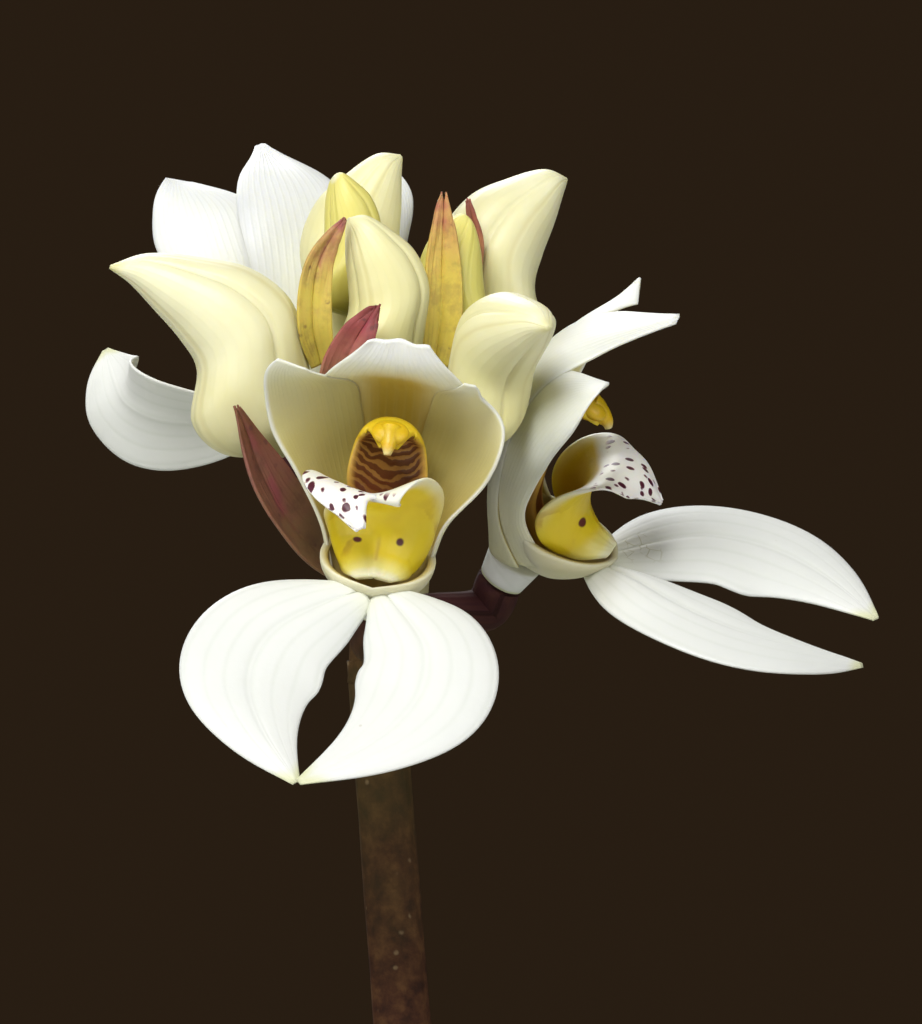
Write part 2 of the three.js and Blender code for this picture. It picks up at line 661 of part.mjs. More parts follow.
// Pot: one turned piece of fired clay with a thick rim and four holes in its floor.
function pot() {
  const slope = (POT_TOP_RADIUS - POT_RIM_STEP - POT_FOOT_RADIUS) / POT_HEIGHT;
  const radiusAt = (z) => POT_FOOT_RADIUS + slope * z;
  const rimFoot = POT_HEIGHT - POT_RIM_HEIGHT;
  const profile = [
    [0, 0], [POT_FOOT_RADIUS - 1.5, 0], [POT_FOOT_RADIUS, 1.5],
    [radiusAt(rimFoot), rimFoot], [POT_TOP_RADIUS - 1.6, rimFoot + 1],
    [POT_TOP_RADIUS - 0.8, rimFoot + 3], [POT_TOP_RADIUS, POT_HEIGHT - 3],
    [POT_TOP_RADIUS - 2, POT_HEIGHT],
    [POT_TOP_RADIUS - POT_WALL - 2, POT_HEIGHT], [POT_TOP_RADIUS - POT_WALL - 4, POT_HEIGHT - 2],
    [POT_FOOT_RADIUS - POT_WALL + 4, POT_FLOOR + 6], [POT_FOOT_RADIUS - POT_WALL, POT_FLOOR], [0, POT_FLOOR],
  ].map(([x, z]) => new THREE.Vector2(x, z));
  const body = new THREE.LatheGeometry(profile, 36);
  body.rotateX(Math.PI / 2);
  const holes = [45, 135, 225, 315].map((turn) => {
    const hole = new THREE.CylinderGeometry(DRAIN_RADIUS, DRAIN_RADIUS, 4 * POT_FLOOR, 12);
    hole.rotateX(Math.PI / 2);
    hole.translate(DRAIN_CIRCLE, 0, 0);
    return hole.rotateZ(radians(turn));
  });
  return cut(body, holes);
}

// Soil: fills the pot to below its rim, with a crumbly top and a plain hole for each stem.
function soil() {
  const sectors = 32;
  const bottom = POT_FLOOR + GAP;
  const innerAt = (z) => {
    const low = [POT_FOOT_RADIUS - POT_WALL + 4, POT_FLOOR + 6];
    const high = [POT_TOP_RADIUS - POT_WALL - 4, POT_HEIGHT - 2];
    return low[0] + ((high[0] - low[0]) * (z - low[1])) / (high[1] - low[1]) - 1.6 * GAP;
  };
  const ring = (radius, height) => Array.from({ length: sectors }, (_, j) => {
    const angle = (2 * Math.PI * j) / sectors;
    return new THREE.Vector3(radius * Math.cos(angle), radius * Math.sin(angle), height(j, radius));
  });
  const level = (z) => () => z;
  const crumb = (j, radius) => SOIL_TOP
    + SOIL_BUMP * Math.sin(2.3 * j + 0.31 * radius) * Math.cos(0.19 * radius + 1.7 * j) * (radius / 60);
  const body = loft([
    ring(POT_FOOT_RADIUS - POT_WALL - 2 * GAP, level(bottom)),
    ring(innerAt(bottom + 6), level(bottom + 6)),
    ring(innerAt(SOIL_TOP - 1), level(SOIL_TOP - 1)),
    ring(innerAt(SOIL_TOP) - 4, crumb),
    ring(44, crumb), ring(32, crumb), ring(20, crumb), ring(9, crumb),
  ]);
  const hole = (radius, place) => {
    const tool = new THREE.CylinderGeometry(radius, radius, 2 * HOLE_DEPTH, 20);
    tool.rotateX(Math.PI / 2);
    return tool.translate(place[0], place[1], SOIL_TOP);
  };
  return cut(body, [hole(SCAPE_FOOT_RADIUS + 2 * GAP, SCAPE_FOOT), hole(SHEATH_HOLE, SHEATH_FOOT)]);
}

// Materials.
const clay = new THREE.MeshStandardMaterial({ color: 0xb5653f, roughness: 0.85, metalness: 0 });
const earth = new THREE.MeshStandardMaterial({ color: 0x33261c, roughness: 0.95, metalness: 0 });
const green = new THREE.MeshStandardMaterial({ color: 0x4f7a38, roughness: 0.5, metalness: 0 });
const papery = new THREE.MeshStandardMaterial({ color: 0x9a8a5c, roughness: 0.7, metalness: 0 });
const purple = new THREE.MeshStandardMaterial({ color: 0x3a1f24, roughness: 0.5, metalness: 0 });
const white = new THREE.MeshStandardMaterial({ color: 0xf3f1e4, roughness: 0.5, metalness: 0 });
const cream = new THREE.MeshStandardMaterial({ color: 0xe6dfae, roughness: 0.5, metalness: 0 });
const yellow = new THREE.MeshStandardMaterial({ color: 0xe0c020, roughness: 0.45, metalness: 0 });
const amber = new THREE.MeshStandardMaterial({ color: 0xcf9a30, roughness: 0.45, metalness: 0 });

function piece(name, geometry, material) {
  const mesh = new THREE.Mesh(geometry, material);
  mesh.name = name;
  return mesh;
}

const plant = new THREE.Group();
plant.add(
  piece('pot', pot(), clay),
  piece('soil', soil(), earth),
  piece('leaf_sheath', leafSheath(), papery),
  piece('scape', scape(), purple),
);
LEAVES.forEach((spec) => plant.add(piece(spec.name, leaf(spec), green)));
SCAPE_SHEATHS.forEach((start, i) => plant.add(piece(`scape_sheath_${i + 1}`, scapeSheath(start), papery)));

const head = new THREE.Group();
head.position.set(0, 0, NECK_HEIGHT);
for (const flower of BLOOMS) {
  const group = placed(flower);
  group.add(
    piece(`${flower.name}_tepals`, tepals(flower.pose), white),
    piece(`${flower.name}_lip`, lip(flower.pose), yellow),
    piece(`${flower.name}_column`, column(), amber),
  );
  head.add(group);
}
for (const flower of BUDS) {
  const group = placed(flower);
  group.add(piece(flower.name, bud(flower.pose), cream));
  head.add(group);
}
for (const spec of BRACTS) {
  const material = new THREE.MeshStandardMaterial({ color: spec.colour, roughness: 0.55, metalness: 0 });
  head.add(piece(spec.name, bract(spec), material));
}
plant.add(head);

export default plant;
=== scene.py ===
"""A potted Govenia capitata orchid in flower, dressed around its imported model."""

import math
import random

import bpy
from mathutils import Matrix, Vector, noise


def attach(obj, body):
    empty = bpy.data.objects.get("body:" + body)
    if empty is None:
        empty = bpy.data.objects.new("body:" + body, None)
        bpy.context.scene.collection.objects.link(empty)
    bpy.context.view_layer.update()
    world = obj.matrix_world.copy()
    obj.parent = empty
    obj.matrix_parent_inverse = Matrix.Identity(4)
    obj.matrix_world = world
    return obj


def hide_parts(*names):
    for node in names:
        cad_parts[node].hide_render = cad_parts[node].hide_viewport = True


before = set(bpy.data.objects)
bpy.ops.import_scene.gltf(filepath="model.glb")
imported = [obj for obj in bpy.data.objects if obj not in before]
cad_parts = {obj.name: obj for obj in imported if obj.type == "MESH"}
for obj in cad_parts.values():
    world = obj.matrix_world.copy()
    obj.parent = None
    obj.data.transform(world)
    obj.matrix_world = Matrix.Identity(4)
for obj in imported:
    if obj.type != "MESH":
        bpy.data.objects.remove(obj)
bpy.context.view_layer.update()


# Pot: a turned and fired clay pot, left unglazed, 140 mm across its thick rolled rim. Its wall is
# 6 mm and tapers to the foot, and four drain holes are cut through the floor away from the middle.
# The clay is dusty orange, with pale salts that dry out of it near the rim, the foot and the step.
MM = 0.001
POT_HEIGHT = 120
POT_TOP_RADIUS = 70
POT_FOOT_RADIUS = 48
POT_WALL = 6
POT_FLOOR = 8
POT_RIM_FOOT = 94
POT_RIM_STEP = 4.5
DRAIN_RADIUS = 6
DRAIN_CIRCLE = 26
POT_SECTORS = 144
DRILL_SECTORS = 40
DRILL_FROM = -9
DRILL_TO = 30
NEAR_AXIS = 0.01


class Paint:
    """A socket of a material's nodes, so that masks and colours are summed in plain Python."""

    def __init__(self, tree, socket=None):
        self.tree = tree
        self.socket = socket

    def add(self, kind, settings=None, values=None, out=0):
        node = self.tree.nodes.new(kind)
        for name, value in (settings or {}).items():
            if name == "stops":
                elements = node.color_ramp.elements
                for place, _ in value[1:-1]:
                    elements.new(place)
                for element, (_, colour) in zip(elements, value):
                    element.color = (*colour, 1)
            else:
                setattr(node, name, value)
        for name, value in (values or {}).items():
            socket = node.inputs[name]
            if isinstance(value, Paint):
                self.tree.links.new(value.socket, socket)
            elif socket.type == "RGBA":
                socket.default_value = (*value, 1)
            else:
                socket.default_value = value
        return Paint(self.tree, node.outputs[out])

    def sums(self, operation, *terms):
        if any(isinstance(term, Paint) and term.socket.type != "VALUE" for term in terms):
            terms = [(term,) * 3 if isinstance(term, (int, float)) else term for term in terms]
            return self.add("ShaderNodeVectorMath", {"operation": operation}, dict(enumerate(terms)))
        return self.add("ShaderNodeMath", {"operation": operation}, dict(enumerate(terms)))

    def __add__(self, other):
        return self.sums("ADD", self, other)

    def __sub__(self, other):
        return self.sums("SUBTRACT", self, other)

    def __rsub__(self, other):
        return self.sums("SUBTRACT", other, self)

    def __mul__(self, other):
        return self.sums("MULTIPLY", self, other)

    def __pow__(self, other):
        return self.sums("POWER", self, other)

    def __abs__(self):
        return self.sums("ABSOLUTE", self)

    __radd__ = __add__
    __rmul__ = __mul__

    def wave(self, turns):
        return self.sums("SINE", self * (2 * math.pi * turns)) * 0.5 + 0.5

    def rise(self, low, high):
        """0 below low, 1 above high, smooth between them; high may be the lower one."""
        ends = {"Value": self, "From Min": min(low, high), "From Max": max(low, high)}
        up = self.add("ShaderNodeMapRange", {"interpolation_type": "SMOOTHSTEP"}, ends)
        return up if low < high else 1 - up

    def over(self, mask, colour):
        """This colour with another laid over it where the mask is 1."""
        return self.add("ShaderNodeMix", {"data_type": "RGBA"}, {0: mask, 6: self, 7: colour}, 2)

    def colour(self, value):
        return self.add("ShaderNodeMix", {"data_type": "RGBA"}, {0: 0.0, 6: value, 7: value}, 2)

    def ramp(self, *stops):
        return self.add("ShaderNodeValToRGB", {"stops": stops}, {0: self})

    def where(self):
        return self.add("ShaderNodeTexCoord", out="Object")

    def marks(self, name="place"):
        """The three numbers that a mesh carries at each of its points."""
        whole = self.add("ShaderNodeAttribute", {"attribute_name": name}, out="Vector")
        return [self.add("ShaderNodeSeparateXYZ", None, {0: whole}, i) for i in range(3)]

    def joined(self, x, y, z):
        return self.add("ShaderNodeCombineXYZ", None, {0: x, 1: y, 2: z})

    def cloud(self, place, scale, detail=3.0, rough=0.5):
        values = {"Vector": place, "Scale": scale, "Detail": detail, "Roughness": rough}
        return self.add("ShaderNodeTexNoise", None, values)

    def cells(self, place, scale, feature="F1", spread=1.0, out=0):
        values = {"Vector": place, "Scale": scale, "Randomness": spread}
        return self.add("ShaderNodeTexVoronoi", {"feature": feature}, values, out)


def finish_of(name, paint, **fixed):
    """A material: fixed values of the shader, and its colour, roughness, relief and relief's depth."""
    made = bpy.data.materials.new(name)
    made.use_nodes = True
    tree = made.node_tree
    shader = tree.nodes["Principled BSDF"]
    for socket, value in fixed.items():
        shader.inputs[socket.replace("_", " ")].default_value = value
    colour, roughness, height, depth = paint(Paint(tree))
    relief = height.add("ShaderNodeBump", None, {"Height": height, "Distance": depth * MM})
    for socket, value in (("Base Color", colour), ("Roughness", roughness), ("Normal", relief)):
        tree.links.new(value.socket, shader.inputs[socket])
    return made


def mesh_of(name, points, faces):
    """A mesh from points in millimetres."""
    mesh = bpy.data.meshes.new(name)
    mesh.from_pydata([tuple(c * MM for c in point) for point in points], [], faces)
    return mesh


def shown(name, content):
    """An object of the scene that holds a mesh, a lamp or a camera."""
    made = bpy.data.objects.new(name, content)
    bpy.context.scene.collection.objects.link(made)
    return made


def piece_of(name, part, finish, node, slot, **marks):
    """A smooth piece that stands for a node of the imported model: its points, faces and any marks."""
    points, faces, *place = part
    mesh = mesh_of(name, points, faces)
    if place:
        marks["place"] = place[0]
    for mark, values in marks.items():
        layer = mesh.attributes.new(mark, "FLOAT_VECTOR", "POINT")
        layer.data.foreach_set("vector", [c for value in values for c in value])
    mesh.shade_smooth()
    mesh.materials.append(finish)
    piece = shown(name, mesh)
    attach(piece, "root")
    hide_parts(node)
    return piece


def rounded(corners, radius, steps=4):
    """A line of (radius, height) corners with each inner corner turned round."""
    line = [corners[0]]
    for before, corner, after in zip(corners, corners[1:], corners[2:]):
        here = Vector(corner)
        back = Vector(before) - here
        on = Vector(after) - here
        reach = min(radius, 0.45 * back.length, 0.45 * on.length)
        start = here + back.normalized() * reach
        end = here + on.normalized() * reach
        for i in range(steps + 1):
            u = i / steps
            line.append(tuple(start * (1 - u) ** 2 + here * 2 * u * (1 - u) + end * u ** 2))
    return line + [corners[-1]]


def tube(rings, closed_ends=True):
    """Points and faces over rings of points, each with the same number round."""
    around = len(rings[0])
    points = [point for ring in rings for point in ring]
    faces = []
    for i in range(len(rings) - 1):
        for j in range(around):
            k = (j + 1) % around
            a = i * around
            b = a + around
            faces.append((a + j, a + k, b + k, b + j))
    if closed_ends:
        faces.append(tuple(reversed(range(around))))
        faces.append(tuple(range(len(points) - around, len(points))))
    return points, faces


def circle(radius, sectors):
    angles = [2 * math.pi * j / sectors for j in range(sectors)]
    return [(radius * math.cos(angle), radius * math.sin(angle)) for angle in angles]


def turned(profile, sectors):
    """A body turned about Z from a line of (radius, height)."""
    return tube([[(x, y, z) for x, y in circle(r, sectors)] for r, z in profile], closed_ends=False)


def clay(paint):
    place = paint.where()
    height = paint.add("ShaderNodeSeparateXYZ", None, {0: place}, 2) * (1 / MM)
    patches = paint.cloud(place, 26, 5, 0.6)
    grain = paint.cloud(place, 900, 3, 0.6)
    colour = patches.ramp(
        (0, (0.36, 0.115, 0.048)), (0.42, (0.47, 0.165, 0.072)), (0.6, (0.55, 0.215, 0.105)),
        (1, (0.62, 0.28, 0.16)))
    specks = paint.cells(place, 520).rise(0.16, 0.06)
    colour = colour.over(specks * 0.5, (0.2, 0.06, 0.03))
    near = height.rise(POT_HEIGHT - 8, POT_HEIGHT + 1) * 0.8 + height.rise(9, 0) * 0.7
    near = near + (1 - abs(height - (POT_RIM_FOOT - 2)).rise(0, 7)) * 0.55
    salts = (near + paint.cloud(place, 38, 6, 0.7) * 1.5 - 1.02).rise(0.0, 0.55)
    colour = colour.over(salts * 0.75, (0.74, 0.65, 0.55))
    lines = (height + paint.cloud(place, 9) * 2.4).wave(0.55)
    relief = grain * 0.35 + lines * 0.4 + specks * -0.5 + salts * 0.2
    return colour, 0.74 + grain * 0.2, relief, 0.35


pot_slope = (POT_TOP_RADIUS - POT_RIM_STEP - POT_FOOT_RADIUS) / POT_HEIGHT
POT_INSIDE = POT_TOP_RADIUS - POT_WALL
POT_FLOOR_RADIUS = POT_FOOT_RADIUS - POT_WALL
pot_line = rounded([
    (POT_FOOT_RADIUS * 0.5, 0), (POT_FOOT_RADIUS, 0),
    (POT_FOOT_RADIUS + pot_slope * POT_RIM_FOOT, POT_RIM_FOOT), (POT_TOP_RADIUS - 1.2, POT_RIM_FOOT + 0.6),
    (POT_TOP_RADIUS, POT_HEIGHT - 3), (POT_TOP_RADIUS - 2, POT_HEIGHT),
    (POT_INSIDE - 2, POT_HEIGHT), (POT_INSIDE - 4, POT_HEIGHT - 2),
    (POT_FLOOR_RADIUS + 4, POT_FLOOR + 6), (POT_FLOOR_RADIUS, POT_FLOOR),
    (POT_FOOT_RADIUS * 0.5, POT_FLOOR),
], 1.6)
pot = piece_of(
    "clay_pot", turned([(NEAR_AXIS, 0)] + pot_line + [(NEAR_AXIS, POT_FLOOR)], POT_SECTORS),
    finish_of("fired_clay", clay, Specular_IOR_Level=0.3), "pot", "terracotta")
drill_line = [
    (NEAR_AXIS, DRILL_FROM), (DRAIN_RADIUS, DRILL_FROM), (DRAIN_RADIUS, DRILL_TO), (NEAR_AXIS, DRILL_TO)]
for turn in range(4):
    angle = math.pi / 4 + turn * math.pi / 2
    middle = (DRAIN_CIRCLE * math.cos(angle), DRAIN_CIRCLE * math.sin(angle))
    points, faces = turned(drill_line, DRILL_SECTORS)
    points = [(x + middle[0], y + middle[1], z) for x, y, z in points]
    drill = shown("drill", mesh_of("drill", points, faces))
    drain = pot.modifiers.new("drain", "BOOLEAN")
    drain.object = drill
    holed = bpy.data.meshes.new_from_object(pot.evaluated_get(bpy.context.evaluated_depsgraph_get()))
    pot.modifiers.clear()
    pot.data = holed
    bpy.data.objects.remove(drill)


# Potting soil: damp bark and peat to 14 mm below the rim, with a crumbly top. Chips of bark, fine
# grit and a few white grains of perlite lie on it, and the two stems stand in it.
SOIL_TOP = 106
SOIL_RADIUS = 57.4
SOIL_BOTTOM = POT_FLOOR + 0.3
SCAPE_FOOT = (17, 5)
SHEATH_FOOT = (-13, -1)
SOIL_RINGS = 58
SOIL_SECTORS = 180
CHIPS = 2600
CLEAR_OF_SCAPE = 5
CLEAR_OF_SHEATH = 13
CRUMBS = 0.72
PERLITE = 0.93
CORNERS = 6


def line_of(*points):
    return [Vector(point) for point in points]


def soil_height(x, y):
    rough = noise.fractal(Vector((x * 0.13, y * 0.13, 3)), 0.6, 2.1, 5) * 1.5
    heap = 0.8 * math.exp(-((x - SCAPE_FOOT[0]) ** 2 + (y - SCAPE_FOOT[1]) ** 2) / 60)
    wet = math.hypot(x, y) / SOIL_RADIUS
    return SOIL_TOP + max(-1.5, min(1.5, rough)) * 0.75 + heap - 0.9 * wet ** 8


def earth(paint):
    place = paint.where()
    shade = paint.cloud(place, 210, 6, 0.7)
    damp = paint.cloud(place, 30, 3)
    colour = shade.ramp(
        (0, (0.006, 0.004, 0.003)), (0.45, (0.022, 0.013, 0.008)), (0.65, (0.05, 0.029, 0.017)),
        (1, (0.11, 0.07, 0.042)))
    colour = colour.over(damp.rise(0.5, 0.7) * 0.5, (0.012, 0.008, 0.006))
    relief = shade + paint.cloud(place, 1300, 3) * 0.5
    return colour, 0.95 - damp.rise(0.45, 0.7) * 0.25, relief, 0.7


def bark(paint):
    kind, tint, _ = paint.marks()
    place = paint.where()
    wood = (paint.cloud(place, 800, 4, 0.6) * 0.5 + tint * 0.5).ramp(
        (0, (0.02, 0.01, 0.006)), (0.35, (0.06, 0.026, 0.013)), (0.7, (0.13, 0.062, 0.03)),
        (1, (0.22, 0.13, 0.07)))
    white = kind.rise(0.93, 0.95)
    return wood.over(white, (0.72, 0.7, 0.65)), 0.82 + tint * 0.1, paint.cloud(place, 1600, 3), 0.25


soil_sides = (
    (NEAR_AXIS, SOIL_BOTTOM), (POT_FLOOR_RADIUS - 0.6, SOIL_BOTTOM), (POT_FLOOR_RADIUS + 3, POT_FLOOR + 6))
soil_rings = [[(x, y, z) for x, y in circle(r, SOIL_SECTORS)] for r, z in soil_sides]
for i in reversed(range(SOIL_RINGS + 1)):
    outline = circle(SOIL_RADIUS * i / SOIL_RINGS, SOIL_SECTORS)
    soil_rings.append([(x, y, soil_height(x, y)) for x, y in outline])
soil = tube(soil_rings, closed_ends=False)
piece_of("soil_bed", soil, finish_of("damp_earth", earth), "soil", "potting_soil")

draw = random.Random(7)
chip_points = []
chip_faces = []
chip_marks = []
chip_outline = [corner.normalized() for corner in line_of(
    (1, 0, 0), (0.5, 0.87, 0.1), (-0.5, 0.87, -0.1), (-1, 0, 0.1), (-0.5, -0.87, 0), (0.5, -0.87, -0.1))]
for _ in range(CHIPS):
    reach = SOIL_RADIUS * 0.975 * math.sqrt(draw.random())
    angle = draw.uniform(0, 2 * math.pi)
    x = reach * math.cos(angle)
    y = reach * math.sin(angle)
    if math.dist((x, y), SCAPE_FOOT) < CLEAR_OF_SCAPE or math.dist((x, y), SHEATH_FOOT) < CLEAR_OF_SHEATH:
        continue
    kind = draw.random()
    grain = kind > PERLITE
    size = draw.uniform(0.4, 1.1) if kind < CRUMBS else draw.uniform(1.0, 3.0)
    thick = size * (0.75 if grain else draw.uniform(0.25, 0.6))
    if grain:
        size = thick = draw.uniform(0.5, 1.1)
    tilt = Matrix.Rotation(draw.uniform(0, 6.28), 3, "Z") @ Matrix.Rotation(draw.gauss(0, 0.35), 3, "X")
    length = 1 if grain else draw.uniform(0.5, 1)
    foot = Vector((x, y, min(soil_height(x, y) + 0.15 * size, SOIL_TOP + 3)))
    start = len(chip_points)
    tint = draw.random()
    for level, wide in ((0.5, 0.72), (0.0, 1.0), (-0.5, 0.7)):
        for corner in chip_outline:
            bulge = draw.uniform(0.75, 1.1)
            spread = size * wide * bulge
            chip_points.append(foot + tilt @ Vector((
                corner.x * spread, corner.y * spread * length, (level + corner.z) * thick)))
            chip_marks.append((kind, tint, 0))
    for level in (0, CORNERS):
        for j in range(CORNERS):
            a = start + level
            k = (j + 1) % CORNERS
            chip_faces.append((a + j, a + CORNERS + j, a + CORNERS + k, a + k))
    chip_faces.append(tuple(start + j for j in range(CORNERS)))
    chip_faces.append(tuple(start + 2 * CORNERS + j for j in reversed(range(CORNERS))))
piece_of("bark_chips", (chip_points, chip_faces, chip_marks), finish_of("bark_and_grit", bark), "soil",
         "potting_soil")


# Leaf sheath: the dry, papery bases of the old leaves, wrapped into a swollen tube 92 mm tall round
# both leaf stalks. It is 0.9 mm thick, ribbed along its length, and its upper edge is cut slantwise.
SHEATH_HEIGHT = 92
SHEATH_WALL = 0.9
HOLE_DEPTH = 26
SHEATH_RADII = (9.0, 10.4, 11.6, 11.2, 10.2, 10.6)
GROUND = SOIL_TOP - HOLE_DEPTH + 0.3
SHEATH_SECTORS = 112
SHEATH_RIBS = 22


def through(knots, t):
    """Numbers or points spaced evenly along 0 to 1, joined by one smooth line."""
    last = len(knots) - 1
    place = min(max(t, 0), 1) * last
    i = min(int(place), last - 1)
    f = place - i
    b = knots[i]
    c = knots[i + 1]
    a = knots[i - 1] if i > 0 else b * 2 - c
    d = knots[i + 2] if i + 2 <= last else c * 2 - b
    return b + (c - a + (a * 2 - b * 5 + c * 4 - d + ((b - c) * 3 + d - a) * f) * f) * (0.5 * f)


def papery(paint):
    t, turn, edge = paint.marks()
    place = paint.where()
    streak = paint.cloud(paint.joined(turn * 26, t * 1.6, edge), 2.2, 5, 0.6)
    fibre = (turn + paint.cloud(place, 60) * 0.012).wave(44)
    colour = (t * 0.75 + streak * 0.5 - 0.1).ramp(
        (0, (0.20, 0.13, 0.075)), (0.3, (0.27, 0.22, 0.095)), (0.65, (0.24, 0.26, 0.085)),
        (1, (0.33, 0.3, 0.13)))
    dry = (paint.cloud(place, 95, 5, 0.6) + t * 0.12).rise(0.55, 0.72)
    colour = colour.over(dry * 0.65, (0.2, 0.11, 0.06))
    colour = colour.over(fibre * 0.28, (0.12, 0.09, 0.04))
    colour = colour.over(t.rise(0.955, 1.0), (0.36, 0.27, 0.15))
    return colour, 0.5 + streak * 0.25, fibre * 0.6 + streak * 0.6, 0.4


def sheath_ring(t, inwards):
    ring = []
    for x, y in circle(1, SHEATH_SECTORS):
        rib = 0.13 * math.cos(SHEATH_RIBS * math.atan2(y, x))
        swell = 0.25 * noise.noise(Vector((x * 2, y * 2, t * 3)))
        radius = through(SHEATH_RADII, t) - inwards + rib + swell
        ragged = 1.6 * t ** 20 * noise.noise(Vector((x * 5, y * 5, 1)))
        ring.append((
            SHEATH_FOOT[0] + radius * x - 3 * t * t,
            SHEATH_FOOT[1] + radius * y,
            GROUND + (SHEATH_HEIGHT + HOLE_DEPTH) * t - 4 * t ** 3 * (1 - y) + ragged,
        ))
    return ring


sheath_steps = [(i / 40, 0.0) for i in range(41)] + [(1.0, SHEATH_WALL * 0.5)]
sheath_steps += [(1 - i / 16 * 0.9, SHEATH_WALL) for i in range(17)]
sheath = tube([sheath_ring(t, inwards) for t, inwards in sheath_steps])
sheath_marks = [
    (t, j / SHEATH_SECTORS, inwards) for t, inwards in sheath_steps for j in range(SHEATH_SECTORS)]
dry_sheath = finish_of("papery_sheath", papery, Subsurface_Weight=0.1, Subsurface_Scale=0.001)
piece_of("leaf_base_sheath", (*sheath, sheath_marks), dry_sheath, "leaf_sheath", "dry_sheath")


# Leaves: two, soft and thin, on channelled stalks that rise out of the sheath. Each blade is folded
# along its veins into shallow pleats, arches over and narrows to a drooping point.
LEAF = 0.62
PLEATS = 5
LEAF_ROWS = 130
LEAF_COLUMNS = 120
LEAF_HALF = (4.0, 4.4, 5.8, 28, 43, 37, 1.5)
LEAF_FOLD = (0.7, 0.7, 0.7, 0.5, 0.35, 0.3, 0.2)
LEAVES = {
    "leaf_left": (
        line_of((-17, 0, 86), (-18.5, -1, 150), (-22, -2.5, 204), (-50, -6, 266), (-98, -12, 306),
                (-150, -22, 302), (-186, -32, 262)),
        line_of((-0.9, 0.2, 0.1), (-0.9, 0.2, 0.1), (-0.8, 0.1, 0.5), (0.4, 0.1, 1), (0.2, -0.1, 1),
                (-0.4, -0.1, 1), (-0.8, -0.2, 1))),
    "leaf_right": (
        line_of((-9.5, 0, 86), (-11.5, -0.5, 150), (-13, 2, 204), (-13, 30, 258), (8, 68, 308),
                (52, 100, 326), (98, 120, 298)),
        line_of((0.9, 0.2, 0.1), (0.9, 0.3, 0.1), (0.8, 0.4, 0.5), (-0.4, -0.1, 1), (-0.2, -0.1, 1),
                (0.3, 0.1, 1), (0.7, 0.2, 1))),
}


def heading(line, t):
    return (through(line, min(t + 0.01, 1)) - through(line, max(t - 0.01, 0))).normalized()


def blade(midrib, facing, half, curl, rows, columns, wave, tip=0.25):
    """Rows of points across a midrib: the way its upper face looks, half width, edge curl, waves."""
    grid = []
    for i in range(rows + 1):
        t = i / rows
        along = heading(midrib, t)
        up = through(facing, t) if isinstance(facing, list) else facing
        across = along.cross(up).normalized()
        normal = across.cross(along)
        width = max(through(half, t), tip)
        turn = through(curl, t)
        row = []
        for j in range(columns + 1):
            v = 2 * j / columns - 1
            bend = turn * v
            flat = abs(turn) < 1e-3
            x = v * width if flat else width * math.sin(bend) / turn
            rise = 0 if flat else width * (1 - math.cos(bend)) / turn
            row.append(through(midrib, t) + across * x + normal * (rise + wave(t, v)))
        grid.append(row)
    return grid


def sheet(grid, thickness, edge=0.3, marked_by=None):
    """Both faces of a thin blade, thinned and closed round its edge; marks are length, side, face."""
    rows = len(grid)
    columns = len(grid[0])
    points = []
    marks = []
    faces = []
    for face in (0, 1):
        for i, row in enumerate(grid):
            for j, point in enumerate(row):
                along = grid[min(i + 1, rows - 1)][j] - grid[max(i - 1, 0)][j]
                across = row[min(j + 1, columns - 1)] - row[max(j - 1, 0)]
                t = i / (rows - 1)
                v = 2 * j / (columns - 1) - 1
                thin = max(edge, math.sqrt(max(0, 1 - abs(v) ** 6)) * math.sqrt(max(0, 1 - t ** 12)))
                normal = along.cross(across).normalized()
                points.append(point + normal * (thickness * (0.5 - face) * thin))
                marks.append(marked_by(t, v, face) if marked_by else (t, v, face))
    under = rows * columns
    for i in range(rows - 1):
        for j in range(columns - 1):
            a = i * columns + j
            b = a + columns
            faces.append((a, b, b + 1, a + 1))
            faces.append((a + under, a + 1 + under, b + 1 + under, b + under))
    rim = list(range(columns - 1))
    rim += [i * columns + columns - 1 for i in range(rows - 1)]
    rim += [(rows - 1) * columns + j for j in range(columns - 1, 0, -1)]
    rim += [i * columns for i in range(rows - 1, 0, -1)]
    for a, b in zip(rim, rim[1:] + rim[:1]):
        faces.append((a, b, b + under, a + under))
    return points, faces, marks


def leafy(paint):
    t, v, face = paint.marks()
    place = paint.where()
    shade = paint.cloud(place, 26, 4, 0.6)
    colour = (shade * 0.8 + t * 0.25).ramp(
        (0, (0.035, 0.105, 0.02)), (0.45, (0.06, 0.165, 0.028)), (0.7, (0.085, 0.205, 0.035)),
        (1, (0.14, 0.26, 0.05)))
    veins = v.wave(PLEATS) ** 10
    threads = (v + paint.cloud(place, 30) * 0.01).wave(34) ** 3
    cross = paint.cloud(paint.joined(t * 160, v * 14, 0.0), 1.0, 2).rise(0.6, 0.66)
    colour = colour.over(threads * 0.22, (0.15, 0.27, 0.07))
    colour = colour.over(cross * 0.12, (0.13, 0.25, 0.06))
    colour = colour.over(veins * 0.45, (0.2, 0.33, 0.1))
    rib = abs(v).rise(0.035, 0.0)
    colour = colour.over(rib * 0.7, (0.27, 0.38, 0.14))
    stalk = t.rise(0.4, 0.26)
    colour = colour.over(stalk, (0.2, 0.26, 0.09))
    dying = (t + paint.cloud(place, 70, 4) * 0.05).rise(0.99, 1.02) + abs(v).rise(0.985, 1.01) * 0.6
    colour = colour.over(dying, (0.26, 0.15, 0.06))
    under = colour.over(0.45, (0.2, 0.3, 0.13))
    relief = threads * 0.35 + veins * 0.6 + cross * 0.15
    return under.over(face, colour), 0.34 + (1 - face) * 0.2 + shade * 0.12, relief, 0.3


